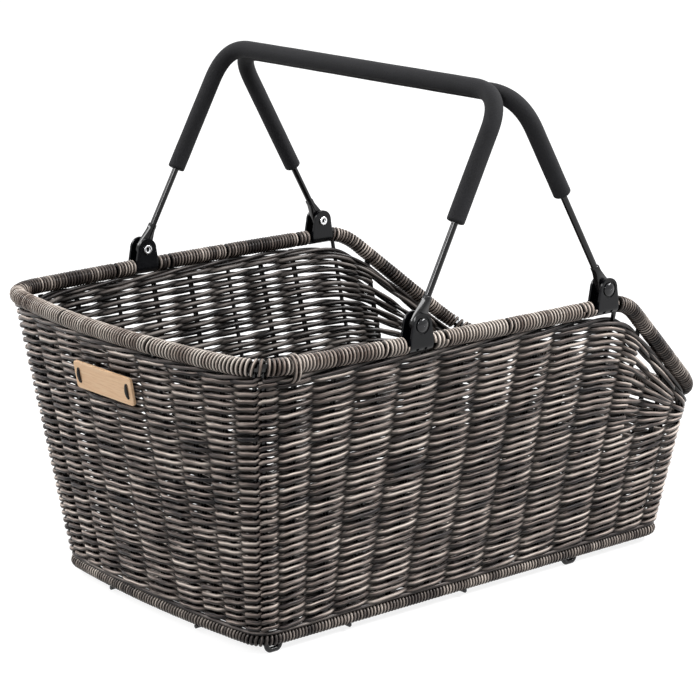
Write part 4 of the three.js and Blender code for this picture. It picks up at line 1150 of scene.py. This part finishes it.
# Floor, backdrop and light
def show_backdrop(graph, kind, lighting, backdrop):
    """Gives the backdrop to rays that look at it or mirror it, and the lighting to others."""
    rays = graph.nodes.new("ShaderNodeLightPath").outputs
    seen = graph.maths("MAXIMUM", rays["Is Camera Ray"], rays["Is Glossy Ray"])
    seen = graph.maths("MAXIMUM", seen, rays["Is Transmission Ray"])
    mix = graph.add("MixShader", {0: seen, 1: lighting, 2: backdrop})
    output = graph.nodes.new("ShaderNodeOutput" + kind)
    graph.links.new(mix, output.inputs["Surface"])
    return graph.owner


def stage_material():
    graph = Graph("studio_white")
    graph.nodes.clear()
    plain = graph.add("BsdfDiffuse", {"Color": (0.3, 0.3, 0.3, 1)})
    # Away from the object and its shadow the floor is quite white
    distance = graph.add("VectorMath", {0: graph.coords()}, "Value", operation="LENGTH")
    levels = {"From Min": 0.5, "From Max": 2.4, "To Min": 0.84, "To Max": 1.0}
    level = graph.add("MapRange", {"Value": distance, **levels}, "Result")
    white = graph.add("Emission", {"Color": (1, 1, 1, 1), "Strength": level})
    both = graph.add("AddShader", {0: plain, 1: white})
    return show_backdrop(graph, "Material", plain, both)


def stage_world():
    graph = Graph("studio", bpy.data.worlds)
    graph.nodes.clear()
    soft = graph.add("Background", {"Color": (0.96, 0.98, 1, 1), "Strength": 0.06})
    white = graph.add("Background", {"Color": (1, 1, 1, 1), "Strength": 1.0})
    return show_backdrop(graph, "World", soft, white)


floor_mesh = bpy.data.meshes.new("studio_floor")
floor_mesh.from_pydata([(-9, -9, 0), (9, -9, 0), (9, 9, 0), (-9, 9, 0)], [], [(0, 1, 2, 3)])
floor_mesh.materials.append(stage_material())
ground = add_object("studio_floor", floor_mesh)
bpy.context.scene.world = stage_world()


def aim(name, data, place, right, forward):
    """Puts a lamp or camera in place, looking forward."""
    holder = add_object(name, data)
    turn = Matrix((right, np.cross(right, forward), -forward)).transposed()
    holder.matrix_world = Matrix.Translation(place) @ turn.to_4x4()
    return holder


# Each lamp's place, the point it is aimed at, its size and its power
LAMPS = {
    "key": ((-2.1, -0.7, 1.75), (0, 0, 0.25), (0.8, 0.4), 25),
    "right": ((1.8, -1.3, 2.2), (0, 0, 0.12), (2.4, 0.7), 120),
    "left": ((-1.3, 2.1, 1.9), (0, 0, 0.12), (2.4, 0.7), 52),
    "top": ((0.0, -0.2, 2.7), (0, 0, 0.1), (0.7, 0.7), 14),
}
for name, (place, target, size, energy) in LAMPS.items():
    lamp = bpy.data.lights.new(name, "AREA")
    lamp.shape = "RECTANGLE"
    lamp.size, lamp.size_y = size
    lamp.energy = energy
    forward = unit(np.subtract(target, place))
    aim(name, lamp, place, unit(np.cross(forward, [0, 0, 1])), forward)

# Camera at the photograph's view
CAMERA_PLACE, LENS, SENSOR = (-943.9, -1328.2, 607.8), 127.46, 36
yaw, pitch, roll = np.radians([40.73, 14.30, 0.5])
forward = np.array([
    math.sin(yaw) * math.cos(pitch), math.cos(yaw) * math.cos(pitch), -math.sin(pitch),
])
level_right = np.array([math.cos(yaw), -math.sin(yaw), 0.0])
level_up = np.cross(level_right, forward)
right = level_right * math.cos(roll) + level_up * math.sin(roll)
camera = bpy.data.cameras.new("camera")
camera.lens, camera.sensor_width, camera.clip_end = LENS, SENSOR, 60
bpy.context.scene.camera = aim("camera", camera, placed(CAMERA_PLACE), right, forward)

bpy.context.scene.view_settings.view_transform = "Standard"
